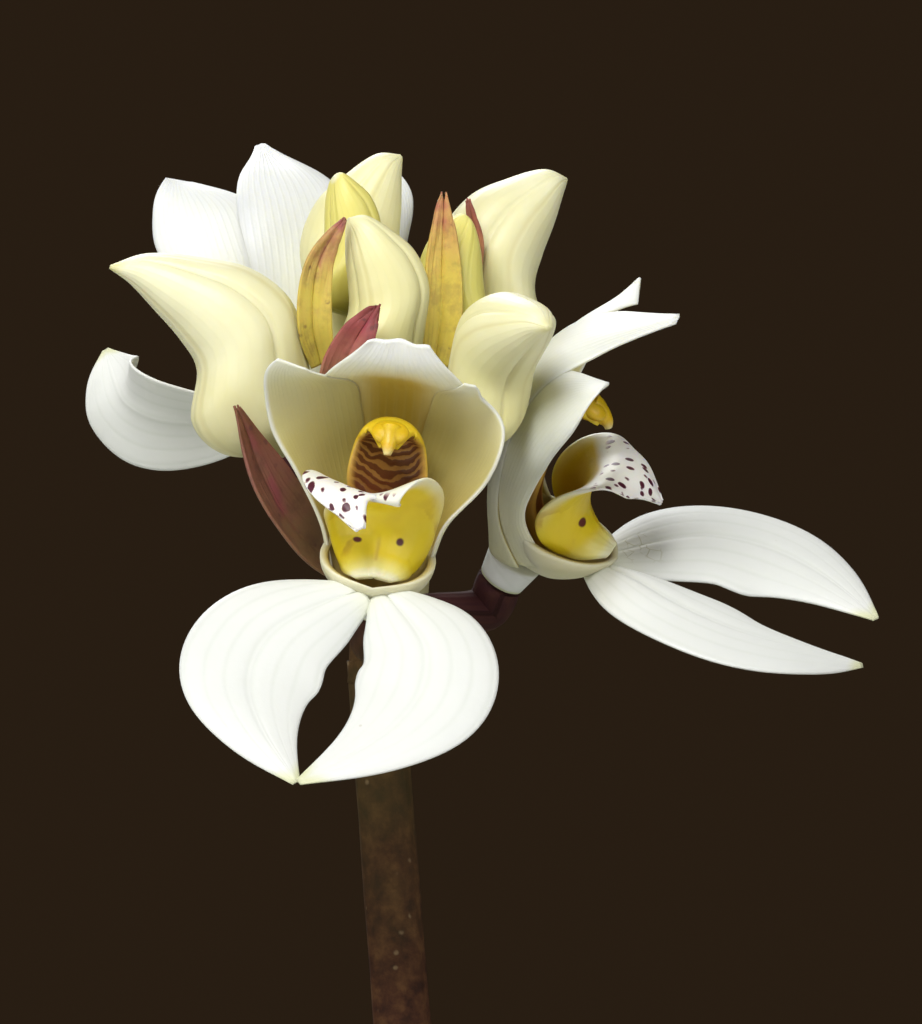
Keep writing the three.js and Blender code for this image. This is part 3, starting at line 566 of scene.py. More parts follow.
def pleated(t, v):
    open_part = max(0, t - 0.38) * max(0, 1.04 - t) * 7
    ridge = -math.cos(math.pi * (v + 1) * PLEATS)
    sway = 3.0 * math.sin(9 * t + 1.5 * v) * v * v * open_part
    return open_part * (1.35 * ridge + 0.28 * math.cos(math.pi * (v + 1) * PLEATS * 3)) + 0.35 * sway


leaf_finish = finish_of("pleated_leaf", leafy, Subsurface_Weight=0.12, Subsurface_Scale=0.001,
                        Subsurface_Radius=(0.3, 1.0, 0.2))
for name, (line, facing) in LEAVES.items():
    grid = blade(line, facing, LEAF_HALF, LEAF_FOLD, LEAF_ROWS, LEAF_COLUMNS, pleated)
    piece_of(name + "_blade", sheet(grid, LEAF), leaf_finish, name, "leaf")


# Flower stem: one grown piece with its pedicels, mottled brown and purple, with a trace of green just
# under the flowers. It is 6.4 mm thick in the soil and 4.3 mm at the neck, where the head begins.
NECK = 400
OVARY_AXIS = Vector((0, 0.55, -0.835)).normalized()
OVARY_RADIUS = 1.75
RECEPTACLE = 1.9
SCAPE_RADII = (3.2, 3.1, 2.8, 2.45, 2.15)
SCAPE_LINE = line_of((*SCAPE_FOOT, GROUND), (16, 5, 170), (11, 4, 250), (4.5, 2, 330), (-0.9, 0, NECK))
SHEATH_STARTS = (0.13, 0.36, 0.62)
RACHIS_LINE = line_of((-0.9, 0, NECK - 2), (-0.3, 0, NECK + 6), (0.1, 0.2, NECK + 14), (0, 0.4, NECK + 21))
RACHIS_RADII = (2.1, 2.2, 1.9, 1.0)

# name: where the top of its ovary is above the neck, turn, nod, roll, size, where its pedicel starts
BLOOMS = {
    "bloom_front": ((-0.7, -9.6, 5.4), -2, 0, 6.5, 0.97, 1.5),
    "bloom_right": ((10.0, 5.4, 7.7), 80, 0, -25, 1.05, 3),
    "bloom_back_left": ((-6.9, 13.4, 17.9), -160, -14, 0, 1.0, 13.8),
}
BUDS = {
    "bud_left": ((-6.4, -4.0, 16.8), -84, 0, 0, 1, 11),
    "bud_right": ((5.7, -5.2, 19.0), 28, 22, 0, 0.83, 12),
    "bud_centre": ((1.1, -3.5, 20.6), -60, -20, -4, 0.78, 17),
    "bud_behind_left": ((-2.0, 1.7, 27.0), -60, -16, 0, 0.62, 20),
    "bud_behind_right": ((4.8, 2.2, 22.0), 118, -20, 0, 0.72, 18),
    "bud_far_right": ((5.0, 9.4, 22.4), 112, -6, 0, 0.98, 17),
    "bud_behind_centre": ((-2.8, 7.0, 21.8), 95, -25, 0, 0.98, 18.5),
    "bud_low_back": ((0.4, 5.4, 1.2), 184, 0, 0, 0.72, 0),
}


def set_of(place):
    at, turn, nod, roll, size, _ = place
    whole = Matrix.Translation(Vector(at) + Vector((0, 0, NECK)))
    for angle, axis in ((turn, "Z"), (nod, "X"), (roll, "Y")):
        whole = whole @ Matrix.Rotation(math.radians(angle), 4, axis)
    return whole @ Matrix.Scale(size, 4)


def stalk(line, radii, steps, sides, knots=()):
    """Rings along a line, swollen a little at its knots, with marks of length, turn and thickness."""
    side = Vector((1, 0, 0))
    rings = []
    marks = []
    for i in range(steps + 1):
        t = i / steps
        along = heading(line, t)
        side = (side - along * side.dot(along)).normalized()
        other = along.cross(side)
        swell = sum(0.32 * math.exp(-((t - k) / 0.006) ** 2) for k in knots)
        middle = through(line, t)
        uneven = 1 + 0.05 * noise.noise(middle * 0.11)
        ring = []
        for j, (x, y) in enumerate(circle(1, sides)):
            radius = (through(radii, t) + swell) * (uneven + 0.008 * math.cos(9 * math.atan2(y, x)))
            ring.append(middle + side * radius * x + other * radius * y)
            marks.append((t, j / sides, radius))
        rings.append(ring)
    return (*tube(rings), marks)


def together(*parts):
    """Several bodies in one mesh."""
    points = []
    faces = []
    marks = []
    for part_points, part_faces, part_marks in parts:
        start = len(points)
        points += part_points
        faces += [tuple(start + i for i in face) for face in part_faces]
        marks += part_marks
    return points, faces, marks


def mottled(paint):
    t, turn, _ = paint.marks()
    place = paint.where()
    z = paint.add("ShaderNodeSeparateXYZ", None, {0: place}, 2) * (1 / MM)
    green = (z + paint.cloud(place, 160) * 16).rise(NECK - 22, NECK + 2)
    green = green * (z + paint.cloud(place, 200) * 10).rise(NECK + 11, NECK + 3)
    stretched = paint.joined(turn * 3.5, z * 0.24, 0.0)
    blotch = paint.cloud(stretched, 2.4, 5, 0.65)
    colour = blotch.ramp(
        (0, (0.012, 0.004, 0.003)), (0.38, (0.03, 0.01, 0.006)), (0.5, (0.058, 0.021, 0.01)),
        (0.65, (0.1, 0.045, 0.018)), (1, (0.15, 0.085, 0.034)))
    low = z.rise(260, 130)
    colour = colour.over(low * 0.6, (0.1, 0.13, 0.04))
    colour = colour.over(green * 0.5, (0.05, 0.045, 0.01))
    head = (z + paint.cloud(place, 120) * 6).rise(NECK + 2, NECK + 8)
    colour = colour.over(head * 0.7, (0.05, 0.013, 0.02))
    specks = paint.cells(place, 620, spread=1.0).rise(0.2, 0.1) * paint.cloud(place, 340).rise(0.5, 0.6)
    colour = colour.over(specks * 0.7, (0.24, 0.17, 0.09))
    ribs = (turn + paint.cloud(place, 80) * 0.02).wave(18)
    relief = ribs * 0.14 + paint.cloud(place, 700, 4) * 0.5 + specks * 0.4
    return colour, 0.7 + blotch * 0.2, relief, 0.16


def pedicel(place):
    size = place[4]
    lie = set_of(place)
    bend = lie @ (OVARY_AXIS * 5)
    end = lie @ (OVARY_AXIS * (RECEPTACLE + 0.3 / size))
    root = Vector((0, 0, NECK + place[5]))
    low = Vector((bend.x * 0.35, bend.y * 0.35, min(root.z + 0.8, bend.z)))
    return stalk([root, low, bend, end], (1.1, 1.25, 1.7 * size, OVARY_RADIUS * size), 26, 28)


stem = together(
    stalk(SCAPE_LINE, SCAPE_RADII, 260, 48, SHEATH_STARTS),
    stalk(RACHIS_LINE, RACHIS_RADII, 40, 36),
    *(pedicel(place) for place in [*BLOOMS.values(), *BUDS.values()]),
)
piece_of("flower_stem", stem, finish_of("mottled_stem", mottled, Specular_IOR_Level=0.16), "scape", "stem")


# Stem sheaths: three dry bracts that each wrap the flower stem as a closed ring, standing a little
# off it at the top, where the edge is cut slantwise to a short point.
STEM_SHEATH_LENGTH = 0.15
STEM_SHEATH_WALL = 0.65
STEM_SHEATH_SIDES = 64


def stem_sheath(start):
    steps = [(i / 24, STEM_SHEATH_WALL) for i in range(25)] + [(1, 0.3)]
    steps += [(1 - i / 24, 0.0) for i in range(25)]
    rings = []
    marks = []
    for t, outwards in steps:
        place = start + STEM_SHEATH_LENGTH * t
        along = heading(SCAPE_LINE, place)
        side = (Vector((1, 0, 0)) - along * along.x).normalized()
        other = along.cross(side)
        radius = through(SCAPE_RADII, place) + 0.6 + 1.3 * t ** 3 + outwards
        ring = []
        for j, (x, y) in enumerate(circle(1, STEM_SHEATH_SIDES)):
            ribbed = radius + 0.07 * math.cos(16 * math.atan2(y, x)) * (outwards > 0.1)
            slant = 4 * t ** 2 * (1 + x)
            ring.append(through(SCAPE_LINE, place) + side * ribbed * x + other * ribbed * y + along * slant)
            marks.append((t, j / STEM_SHEATH_SIDES, 0))
        rings.append(ring)
    return (*tube(rings + [rings[0]], closed_ends=False), marks + marks[:STEM_SHEATH_SIDES])


for number, start in enumerate(SHEATH_STARTS, 1):
    node = "scape_sheath_%d" % number
    piece_of("stem_sheath_%d" % number, stem_sheath(start), dry_sheath, node, "dry_sheath")


# Hood of a bloom: the dorsal sepal, broad and arched, with the two petals lying against its inside
# and flaring at their tips. Under it the petals' bases join the column's foot in a small round cup.
# All are waxy white outside; inside, they turn cream, then olive yellow darkened with painted shade deep in
# the throat.
TEPAL = 0.5
HOOD_BACK = line_of((-1.2, 0.8), (-0.9, 6.0), (0.8, 12.0), (3.8, 16.4), (8.2, 18.4), (13.3, 18.9))
HOOD_MIDDLE = line_of((2.4, 0.4), (1.7, 5.4), (3.7, 9.8), (6.2, 13.4), (9.3, 15.7), (12.4, 17.2))
HOOD_HALF = (3.4, 4.7, 7.5, 9.0, 9.2, 8.0)
PETAL_REACH = 0.84
# A brimmed hood has a lower roof and a blunt edge that stands up; a tucked petal is drawn in at its tip.
# The other lines are degrees from the middle of the hood's back, from foot to tip.
BRIM_BACK = line_of((-1.2, 0.8), (-0.9, 6.0), (0.8, 12.0), (4.0, 15.9), (8.8, 16.9), (11.8, 18.9))
DORSAL_SPREAD = (72, 50, 38, 33, 23, 4)
BRIM_SPREAD = (72, 50, 40, 38, 34, 16)
PETAL_INNER = (14, 15, 16, 18, 24, 52)
PETAL_OUTER = (112, 97, 91, 88, 82, 62)
TUCKED_INNER = (14, 15, 16, 18, 22, 37)
TUCKED_OUTER = (112, 97, 91, 86, 50, 44)
CUP_MIDDLE = 3.1
CUP_BOTTOM = -1.1
CUP_RIM = (3.0, 4.6, 2.7, 1.1, 0.2)
CUP_REACH = (4.3, 4.4, 4.6, 4.7, 4.7)
CUP_WALL = 0.6

# left and right: how far a lateral sepal spreads and hooks, how its petal flares and whether it is tucked
OPENED = {
    "bloom_front": dict(
        left=(1.08, 2.2, (0, 0.8, 1.5), 0), right=(0.78, -7.7, (0, 0.5, 0), 1),
        brim=1, reach=0.74, drop=2.25, sag=2.1, face=48, sway=-3, flap=1.9),
    "bloom_right": dict(
        left=(0.9, 0, (0, 0.1, 2.4), 0), right=(0.9, -2, (0, 0.1, 2.4), 0),
        brim=0, reach=1.04, drop=0.9, sag=0, face=12, sway=0, flap=3.2),
    "bloom_back_left": dict(
        left=(0.6, 0, (0, 0.1, 2.4), 0), right=(1.06, 5.5, (0, 2.2, 1.6), 0),
        brim=0, reach=0.45, drop=-0.42, sag=1.8, face=54, sway=0, flap=3.2),
}


def between(a, b, share):
    return a + (b - a) * share


def hood_point(brim, t, angle, outwards):
    middle = through(HOOD_MIDDLE, t)
    back = between(through(HOOD_BACK, t), through(BRIM_BACK, t), brim)
    deep = (back - middle).length
    wide = through(HOOD_HALF, t) + outwards
    reach = math.cos(angle) * (deep + outwards) / deep
    return Vector((
        math.sin(angle) * wide,
        -(middle.x + reach * (back.x - middle.x)),
        middle.y + reach * (back.y - middle.y),
    ))


def dorsal_sepal(brim, rows=64, columns=40):
    grid = []
    for i in range(rows + 1):
        t = 0.02 + 0.98 * i / rows
        turn = math.radians(between(through(DORSAL_SPREAD, t), through(BRIM_SPREAD, t), brim))
        rolled = 0.7 * max(0, (t - 0.86) / 0.14) ** 2
        row = []
        for j in range(columns + 1):
            v = 2 * j / columns - 1
            ripple = 0.16 * noise.noise(Vector((v * 1.6, t * 5, 2))) + 0.09 * math.sin(14 * t) * v ** 4
            ripple += brim * 0.34 * max(0, t - 0.7) * math.sin(7 * v + 1)
            row.append(hood_point(brim, t, turn * v, 0.31 + rolled * (1 - 0.5 * v * v) + ripple))
        grid.append(row)
    return sheet(grid, TEPAL, 0.35, lambda t, v, face: (t, v, face))


def petal(side, pose, rows=64, columns=40):
    _, _, flare, tuck = pose["left"] if side < 0 else pose["right"]
    grid = []
    for i in range(rows + 1):
        t = 0.03 + (PETAL_REACH - 0.03) * i / rows
        along = t / PETAL_REACH
        start = math.radians(between(through(PETAL_INNER, along), through(TUCKED_INNER, along), tuck))
        end = math.radians(between(through(PETAL_OUTER, along), through(TUCKED_OUTER, along), tuck))
        row = []
        for j in range(columns + 1):
            u = j / columns
            ripple = 0.3 * u ** 3 * noise.noise(Vector((t * 7, side * 3, 5)))
            outwards = through(flare, along) * u ** 1.5 + ripple
            row.append(hood_point(pose["brim"], t, side * between(start, end, u), outwards))
        grid.append(row if side > 0 else row[::-1])
    return sheet(grid, TEPAL, 0.35, lambda t, v, face: (t * PETAL_REACH, 3 + side * v, face))


def cup(sectors=72, levels=16):
    rings = []
    marks = []
    for inwards in (0, CUP_WALL):
        for i in range(1, levels + 1):
            w = i / levels if inwards == 0 else (levels + 1 - i) / levels
            ring = []
            for j in range(sectors):
                angle = -2 * math.pi * j / sectors
                to_front = abs((angle / math.pi + 1) % 2 - 1)
                reach = (through(CUP_REACH, to_front) - inwards) * math.sin(w * math.pi / 2)
                bottom = CUP_BOTTOM + inwards
                rim = through(CUP_RIM, to_front)
                height = bottom + (rim - bottom) * (1 - math.cos(w * math.pi / 2)) ** 0.9
                ring.append(Vector((math.sin(angle) * reach, math.cos(angle) * reach - CUP_MIDDLE, height)))
                marks.append((0.18 * w, 5 + to_front, 1 if inwards else 0))
            rings.append(ring)
    return (*tube(rings), marks)


def laid(place, *parts):
    """Bodies joined, and moved from their bloom's own axes to the head."""
    lie = set_of(place)
    points, faces, marks = together(*parts)
    return [lie @ point for point in points], faces, marks


def fleshy(name, paint, share, depth, tints):
    """A finish that lets some light through it."""
    return finish_of(name, paint, Subsurface_Weight=share, Subsurface_Scale=depth, Subsurface_Radius=tints)


def waxy(painted_cool_shade):
    def paint_hood(paint):
        t, v, face = paint.marks()
        place = paint.where()
        cup_part = v.rise(4.5, 4.6)
        petal_part = v.rise(1.4, 1.6) * (1 - cup_part)
        dorsal_part = 1 - v.rise(1.4, 1.6)
        across = abs(v) * dorsal_part + (v - 3) * petal_part
        broad = paint.cloud(place, 130, 3)
        length = t + (broad - 0.5) * 0.1
        # whites, made bluer for the back bloom as painted cool shade
        white = (0.8, 0.825, 0.76 + painted_cool_shade)
        outside = broad.ramp((0, (0.75, 0.78, 0.68 + painted_cool_shade)), (0.55, white), (1, (0.84, 0.865, 0.81)))
        outside = outside.over(length.rise(0.55, 0.0) * 0.8, (0.6, 0.58, 0.32))
        # inside: cream, turning olive yellow towards the foot; the darkest olive deep in the throat is
        # painted shade over that yellow
        inside = paint.colour((0.8, 0.82, 0.7)).over(length.rise(0.94, 0.62) * 0.9, (0.7, 0.67, 0.4))
        inside = inside.over(length.rise(0.7, 0.36) * 0.88, (0.58, 0.52, 0.2))
        inside = inside.over(length.rise(0.46, 0.12) * 0.85, (0.34, 0.24, 0.02))
        # the petals' halves towards the hood's middle go darker olive: their yellow with painted shade over
        # it
        inner = petal_part * across.rise(0.3, -1.0) * length.rise(0.9, 0.6)
        inside = inside.over(inner * 0.55, (0.5, 0.42, 0.08))
        # a dark olive strip down the sepal's middle above the column: olive yellow with painted shade
        throat_olive_and_shade = across.rise(0.75, 0.15) * length.rise(0.3, 0.45) * length.rise(0.9, 0.72) * dorsal_part
        inside = inside.over(throat_olive_and_shade * 0.9, (0.44, 0.31, 0.015))
        colour = outside.over(face, inside)
        cup_colour = broad.ramp((0, (0.58, 0.54, 0.32)), (1, (0.76, 0.74, 0.55)))
        cup_colour = cup_colour.over(face * 0.8, (0.42, 0.31, 0.06))
        colour = colour.over(cup_part, cup_colour)
        veins = (across + paint.cloud(place, 300) * 0.03).wave(9) ** 3 * (1 - cup_part)
        colour = colour.over(veins * 0.05, (0.58, 0.58, 0.36))
        rim = across.rise(0.86, 1.0) * petal_part + t.rise(0.86, 0.95) * dorsal_part
        colour = colour.over(rim * face * 0.75, (0.86, 0.885, 0.85))
        relief = veins * 0.3 + paint.cloud(place, 1500, 3) * 0.4
        return colour, 0.4 + broad * 0.16, relief, 0.035
    return paint_hood


for name, place in BLOOMS.items():
    pose = OPENED[name]
    hood = laid(place, dorsal_sepal(pose["brim"]), petal(-1, pose), petal(1, pose), cup())
    # The back bloom, which stands in shade behind the others, gets bluer whites: painted cool shade.
    painted_cool_shade = 0.05 if name == "bloom_back_left" else 0.0
    wax = fleshy(name + "_hood_wax", waxy(painted_cool_shade), 0.28, 0.0016, (1.0, 0.9, 0.5))
    piece_of(name + "_hood", hood, wax, name + "_tepals", "tepal")


# Lateral sepals: two sickle-shaped blades that spread from under the cup, pure white with faint
# parallel veins and a touch of green at their tips. They sit with the cup on the ovary's top.
LATERAL_SIDE = (0.8, 3.6, 7.0, 8.4, 7.5, 5.4)
LATERAL_OUT = (0, 2.9, 6.6, 11.0, 15.2, 19.0)
LATERAL_DROP = (0, 0.1, 0.9, 2.6, 4.6, 6.8)
LATERAL_HALF = (1.7, 4.0, 5.5, 5.6, 3.3, 0.3)
LATERAL_ROOT = (6.6, -0.1)
MARGIN_PASSES = 14


def lateral_sepal(side, pose):
    spread, hook, _, _ = pose["left"] if side < 0 else pose["right"]
    midrib = []
    for i, s in enumerate(LATERAL_SIDE):
        t = i / (len(LATERAL_SIDE) - 1)
        midrib.append(Vector((
            side * s * (spread if i else 1) + hook * t ** 3,
            -(LATERAL_ROOT[0] + LATERAL_OUT[i] * pose["reach"]),
            LATERAL_ROOT[1] - LATERAL_DROP[i] * pose["drop"] - pose["sag"] * math.sin(math.pi * t),
        )))
    tilt = math.radians(pose["face"])

    def ripple(t, v):
        fine = 0.07 * noise.noise(Vector((t * 3, v * 1.5, side)))
        keel = -0.22 * math.exp(-(v / 0.1) ** 2) * (1 - t)
        return 0.13 * v * v * math.sin(6 * t + side) + fine + keel

    grid = blade(midrib, Vector((side * -0.12, -math.sin(tilt), math.cos(tilt))), LATERAL_HALF,
                 (-0.9, -0.55, -0.35, -0.3, -0.3, -0.5), 64, 44, ripple)
    for _ in range(MARGIN_PASSES):
        inner = [[(a + b * 2 + c) / 4 for a, b, c in zip(*rows)] for rows in zip(grid, grid[1:], grid[2:])]
        grid = [grid[0], *inner, grid[-1]]
    return sheet(grid, TEPAL, 0.3, lambda t, v, face: (t, 2 * side + v, face))


def ovary_top(size, radius):
    line = [OVARY_AXIS * -0.3, OVARY_AXIS * RECEPTACLE]
    return stalk(line, (size, radius), 4, 36)


def sepal_white(marked):
    def paint_sepal(paint):
        t, v, face = paint.marks()
        place = paint.where()
        across = abs(abs(v) - 2)
        broad = paint.cloud(place, 90, 3)
        colour = broad.ramp((0, (0.7, 0.73, 0.705)), (0.5, (0.75, 0.775, 0.75)), (1, (0.8, 0.815, 0.79)))
        veins = (across * (1 - t * 0.25) + paint.cloud(place, 220) * 0.03).wave(4) ** 6
        colour = colour.over(veins * 0.22 * t.rise(0.97, 0.5), (0.58, 0.63, 0.56))
        colour = colour.over(t.rise(0.14, 0.0) * 0.45, (0.8, 0.82, 0.6))
        colour = colour.over((t + across * 0.03).rise(0.945, 1.0) * 0.75, (0.66, 0.68, 0.36))
        freckle = paint.cells(place, 420).rise(0.075, 0.03) * paint.cloud(place, 160).rise(0.58, 0.64)
        colour = colour.over(freckle * 0.5, (0.55, 0.53, 0.44))
        if marked:
            spot = t.rise(0.04, 0.1) * t.rise(0.27, 0.16)
            spot = spot * (v - 2).rise(-0.5, -0.2) * (v - 2).rise(0.7, 0.3)
            cracks = paint.cells(paint.joined(t * 13, v * 2.6, 0.0), 1.6, "DISTANCE_TO_EDGE")
            cracks = cracks.rise(0.055, 0.02) * spot * paint.cloud(place, 500).rise(0.45, 0.55)
            colour = colour.over(cracks * 0.5, (0.36, 0.35, 0.18))
        relief = veins * -0.3 + paint.cloud(place, 1400, 3) * 0.4
        return colour, 0.4 + broad * 0.2, relief, 0.035
    return paint_sepal


for name, place in BLOOMS.items():
    pose = OPENED[name]
    sepals = laid(place, lateral_sepal(-1, pose), lateral_sepal(1, pose), ovary_top(2.2, OVARY_RADIUS))
    white = fleshy(name + "_sepal_white", sepal_white(name == "bloom_right"), 0.2, 0.0014, (1.0, 1.0, 0.85))
    piece_of(name + "_sepals", sepals, white, name + "_tepals", "tepal")


# Lip: one fleshy tongue, hinged on the cup's edge. It stands up and folds back round the column, so
# that its yellow outside faces out, and its white tip hangs over, spotted with dark purple.
LIP_LINE = ((7.5, 1.05), (6.3, 2.6), (5.7, 4.5), (6.3, 6.4), (8.0, 7.6), (10.1, 6.9), (11.4, 4.7))
LIP_HALF = (1.5, 3.8, 5.6, 5.6, 4.6)
LIP_LENGTH = 15
LIP_CURL = (0.6, 1.3, 1.3, 0.7, 0.1, -0.4, -0.5)
LIP_SWAY = (0, 0, 0, 0.2, 0.8, 0.85, 0.45)
LIP_FACING = line_of(
    (0, 1, 0.1), (0, 1, 0.1), (0, 1, 0.3), (0, 0.6, 1), (0, -0.4, 1), (0, -1, 0.3), (0, -1, -0.2))
LIP_THICK = 0.56


def lip(pose):
    midrib = [Vector((pose["sway"] * sway, -out, up)) for sway, (out, up) in zip(LIP_SWAY, LIP_LINE)]

    def frill(t, v):
        edge = 0.3 * math.sin(7 * v) * max(0, t - 0.45) * abs(v)
        waved = 0.16 * abs(v) ** 3 * math.sin(26 * t + 2 * v) * max(0, t - 0.3)
        groove = -0.25 * math.exp(-(v / 0.12) ** 2) * max(0, 0.6 - t)
        return edge + waved + groove

    half = (*LIP_HALF, pose["flap"], 0.35)
    tongue = sheet(blade(midrib, LIP_FACING, half, LIP_CURL, 84, 64, frill), LIP_THICK, 0.3)
    return tongue, [(t * LIP_LENGTH, v * max(through(half, t), 0.3), face) for t, v, face in tongue[2]]


def lip_paint(paint):
    t, v, face = paint.marks()
    place = paint.where()
    broad = paint.cloud(place, 260, 3)
    wander = (broad - 0.5) * 0.07
    colour = broad.ramp((0, (0.66, 0.47, 0.004)), (0.5, (0.78, 0.6, 0.012)), (1, (0.86, 0.7, 0.04)))
    colour = colour.over((t + wander).rise(0.2, 0.06) * 0.8, (0.82, 0.76, 0.28))
    colour = colour.over(t.rise(0.085, 0.02), (0.8, 0.77, 0.5))
    paler = (abs(v) + wander).rise(0.72, 1.0) * (t + wander).rise(0.3, 0.55)
    colour = colour.over(paler * 0.8, (0.84, 0.84, 0.66))
    white = (t + wander + abs(v) * 0.03).rise(0.555, 0.62)
    colour = colour.over(white, (0.88, 0.87, 0.83))
    veil = white * (1 - (t + wander).rise(0.62, 0.72))
    colour = colour.over(veil * 0.35, (0.74, 0.76, 0.5))

    def spot(length, side, radius, soft):
        reach = ((t - length) * 14) ** 2 + ((v - side) * 4.6) ** 2
        return (reach + (broad - 0.5) * radius).rise(radius * radius + soft, radius * radius * 0.4)

    outer = 1 - face
    slant = (abs(v) * 0.6 + t * 2.2 + (paint.cloud(place, 420) - 0.5) * 0.5).wave(1.6).rise(0.8, 0.97)
    streak = slant * abs(v).rise(0.3, 0.5) * t.rise(0.14, 0.2) * t.rise(0.5, 0.36)
    streak = streak * paint.cloud(place, 330).rise(0.4, 0.6)
    colour = colour.over(streak * outer * 0.5, (0.4, 0.2, 0.01))
    colour = colour.over(spot(0.29, -0.3, 0.34, 0.02) * outer, (0.075, 0.006, 0.006))
    colour = colour.over(spot(0.28, 0.32, 0.42, 0.02) * outer, (0.1, 0.008, 0.006))
    groove = abs(v).rise(0.05, 0.0) * t.rise(0.1, 0.14) * t.rise(0.36, 0.25)
    colour = colour.over(groove * 0.35, (0.4, 0.2, 0.01))
    patch = spot(0.3, 0.0, 1.5, 1.2) * face
    ragged = paint.cloud(place, 520, 4).rise(0.42, 0.56)
    colour = colour.over(patch * ragged * 0.75, (0.24, 0.05, 0.006))
    along, across, _ = paint.marks("flat")
    grain = paint.joined(along, across * 1.25, face * 3.3)
    cell = paint.cells(grain, 1.0, spread=0.8)
    sizes = paint.add("ShaderNodeSeparateXYZ", None, {0: paint.cells(grain, 1.0, spread=0.8, out=1)}, 0)
    dots = (cell + sizes * 0.12 + (paint.cloud(place, 2600) - 0.5) * 0.14).rise(0.42, 0.34)
    dots = dots * (t + wander * 0.6).rise(0.6, 0.63) * t.rise(1.0, 0.985)
    colour = colour.over(dots, (0.07, 0.004, 0.02))
    colour = colour.over((dots * (1 - dots)) * 1.2, (0.3, 0.03, 0.1))
    relief = paint.cloud(place, 1700, 3) * 0.4 + dots * 0.3 + (v + 1).wave(5) * 0.2 * outer
    return colour, 0.36 + broad * 0.16, relief, 0.06


lip_finish = fleshy("spotted_lip", lip_paint, 0.22, 0.0012, (1.0, 0.7, 0.2))
for name, place in BLOOMS.items():
    tongue, flat = lip(OPENED[name])
    piece_of(name + "_tongue", laid(place, tongue), lip_finish, name + "_lip", "lip", flat=flat)


# Column: an arched strap, hollow in front, that stands from the cup's back under the hood. It is
# yellow outside and tan with brown cross stripes in its hollow, with a yellow cap over its tip.
COLUMN_LINE = line_of(
    (0, -1.9, 1.2), (0, -1.3, 4.8), (0, -1.9, 8.8), (0, -3.5, 12.5), (0, -5.9, 13.3), (0, -7.4, 11.5))
COLUMN_FACING = line_of(
    (0, -1, 0.1), (0, -1, 0.1), (0, -1, -0.3), (0, -0.6, -1), (0, 0.1, -1), (0, 0.8, -0.6))
COLUMN_HALF = (1.3, 2.0, 3.4, 3.0, 2.4, 0.7)
COLUMN_CURL = (0.9, 1.0, 0.8, 0.9, 1.0, 0.9)
COLUMN_WALL = 0.9
CAP_MIDDLE = Vector((0, -6.8, 12.5))
CAP_SIZE = (1.5, 1.3, 0.75)
CAP_TILT = 40
BEAK_LINE = line_of((0, -6.6, 12.5), (0, -7.3, 11.9), (0, -7.75, 11.3), (0, -7.85, 10.75))
BEAK_RADII = (1.1, 0.8, 0.5, 0.28)


def column():
    strap = sheet(blade(COLUMN_LINE, COLUMN_FACING, COLUMN_HALF, COLUMN_CURL, 64, 40,
                        lambda t, v: 0.12 * math.sin(20 * t) * abs(v) ** 3), COLUMN_WALL, 0.35)
    tilt = Matrix.Rotation(math.radians(CAP_TILT), 3, "X")
    wide, deep, tall = CAP_SIZE
    rings = []
    marks = []
    for i in range(1, 24):
        fall = math.pi * i / 24
        ring = []
        for x, y in circle(math.sin(fall), 32):
            ring.append(tilt @ Vector((wide * y, -deep * x, -tall * math.cos(fall))) + CAP_MIDDLE)
            marks.append((2, x / math.sin(fall), 0))
        rings.append(ring)
    points, faces, beak_marks = stalk(BEAK_LINE, BEAK_RADII, 16, 24)
    return strap, (*tube(rings), marks), (points, faces, [(2 + t, 0, 0) for t, _, _ in beak_marks])


def column_paint(paint):
    t, v, face = paint.marks()
    place = paint.where()
    broad = paint.cloud(place, 380, 3)
    outside = broad.ramp((0, (0.56, 0.37, 0.006)), (0.5, (0.72, 0.5, 0.01)), (1, (0.8, 0.62, 0.05)))
    inside = broad.ramp((0, (0.24, 0.1, 0.02)), (0.5, (0.36, 0.18, 0.04)), (1, (0.48, 0.28, 0.08)))
    arcs = (t - v * v * 0.09 + (broad - 0.5) * 0.1 + (paint.cloud(place, 1100) - 0.5) * 0.03).wave(26)
    inside = inside.over(arcs.rise(0.2, 0.55) * t.rise(0.2, 0.3) * 0.9, (0.1, 0.022, 0.005))
    inside = inside.over(t.rise(0.5, 0.3) * 0.75, (0.12, 0.024, 0.008))
    inside = inside.over(abs(v).rise(0.84, 1.0) * 0.8, (0.56, 0.34, 0.07))
    inside = inside.over(t.rise(0.86, 0.93), (0.66, 0.46, 0.03))
    colour = outside.over(face, inside)
    colour = colour.over(t.rise(0.62, 0.35) * (1 - face) * 0.7, (0.6, 0.36, 0.14))
    colour = colour.over(t.rise(1.5, 1.6), broad.ramp((0, (0.6, 0.36, 0.005)), (1, (0.74, 0.5, 0.01))))
    colour = colour.over(t.rise(2.6, 3.0) * 0.7, (0.8, 0.72, 0.4))
    relief = paint.cloud(place, 1800, 3) + arcs * 0.3 * face
    return colour, 0.34 + broad * 0.16, relief, 0.05


column_finish = fleshy("striped_column", column_paint, 0.18, 0.0012, (1.0, 0.6, 0.15))
for name, place in BLOOMS.items():
    piece_of(name + "_arch", laid(place, *column()), column_finish, name + "_column", "column")


# Buds: closed blooms, each three sepals that meet along sunk seams, with the swollen chin of the
# cup low in front and a beak at the top. Larger ones are cream, the youngest are still yellow green.
BUD_BACK = line_of(
    (0.2, 1.4), (-0.8, 3.2), (-0.3, 7.0), (0.9, 10.9), (4.0, 13.4), (8.0, 14.3), (12.0, 14.6), (14.9, 13.7))
BUD_FRONT = line_of(
    (1.5, -1.2), (6.2, -1.0), (8.7, 1.4), (8.3, 5.4), (9.6, 7.8), (11.6, 10.2), (13.4, 12.2), (15.0, 13.4))
BUD_HALF = (1.5, 3.3, 4.4, 4.7, 4.3, 3.3, 1.9, 0.3)
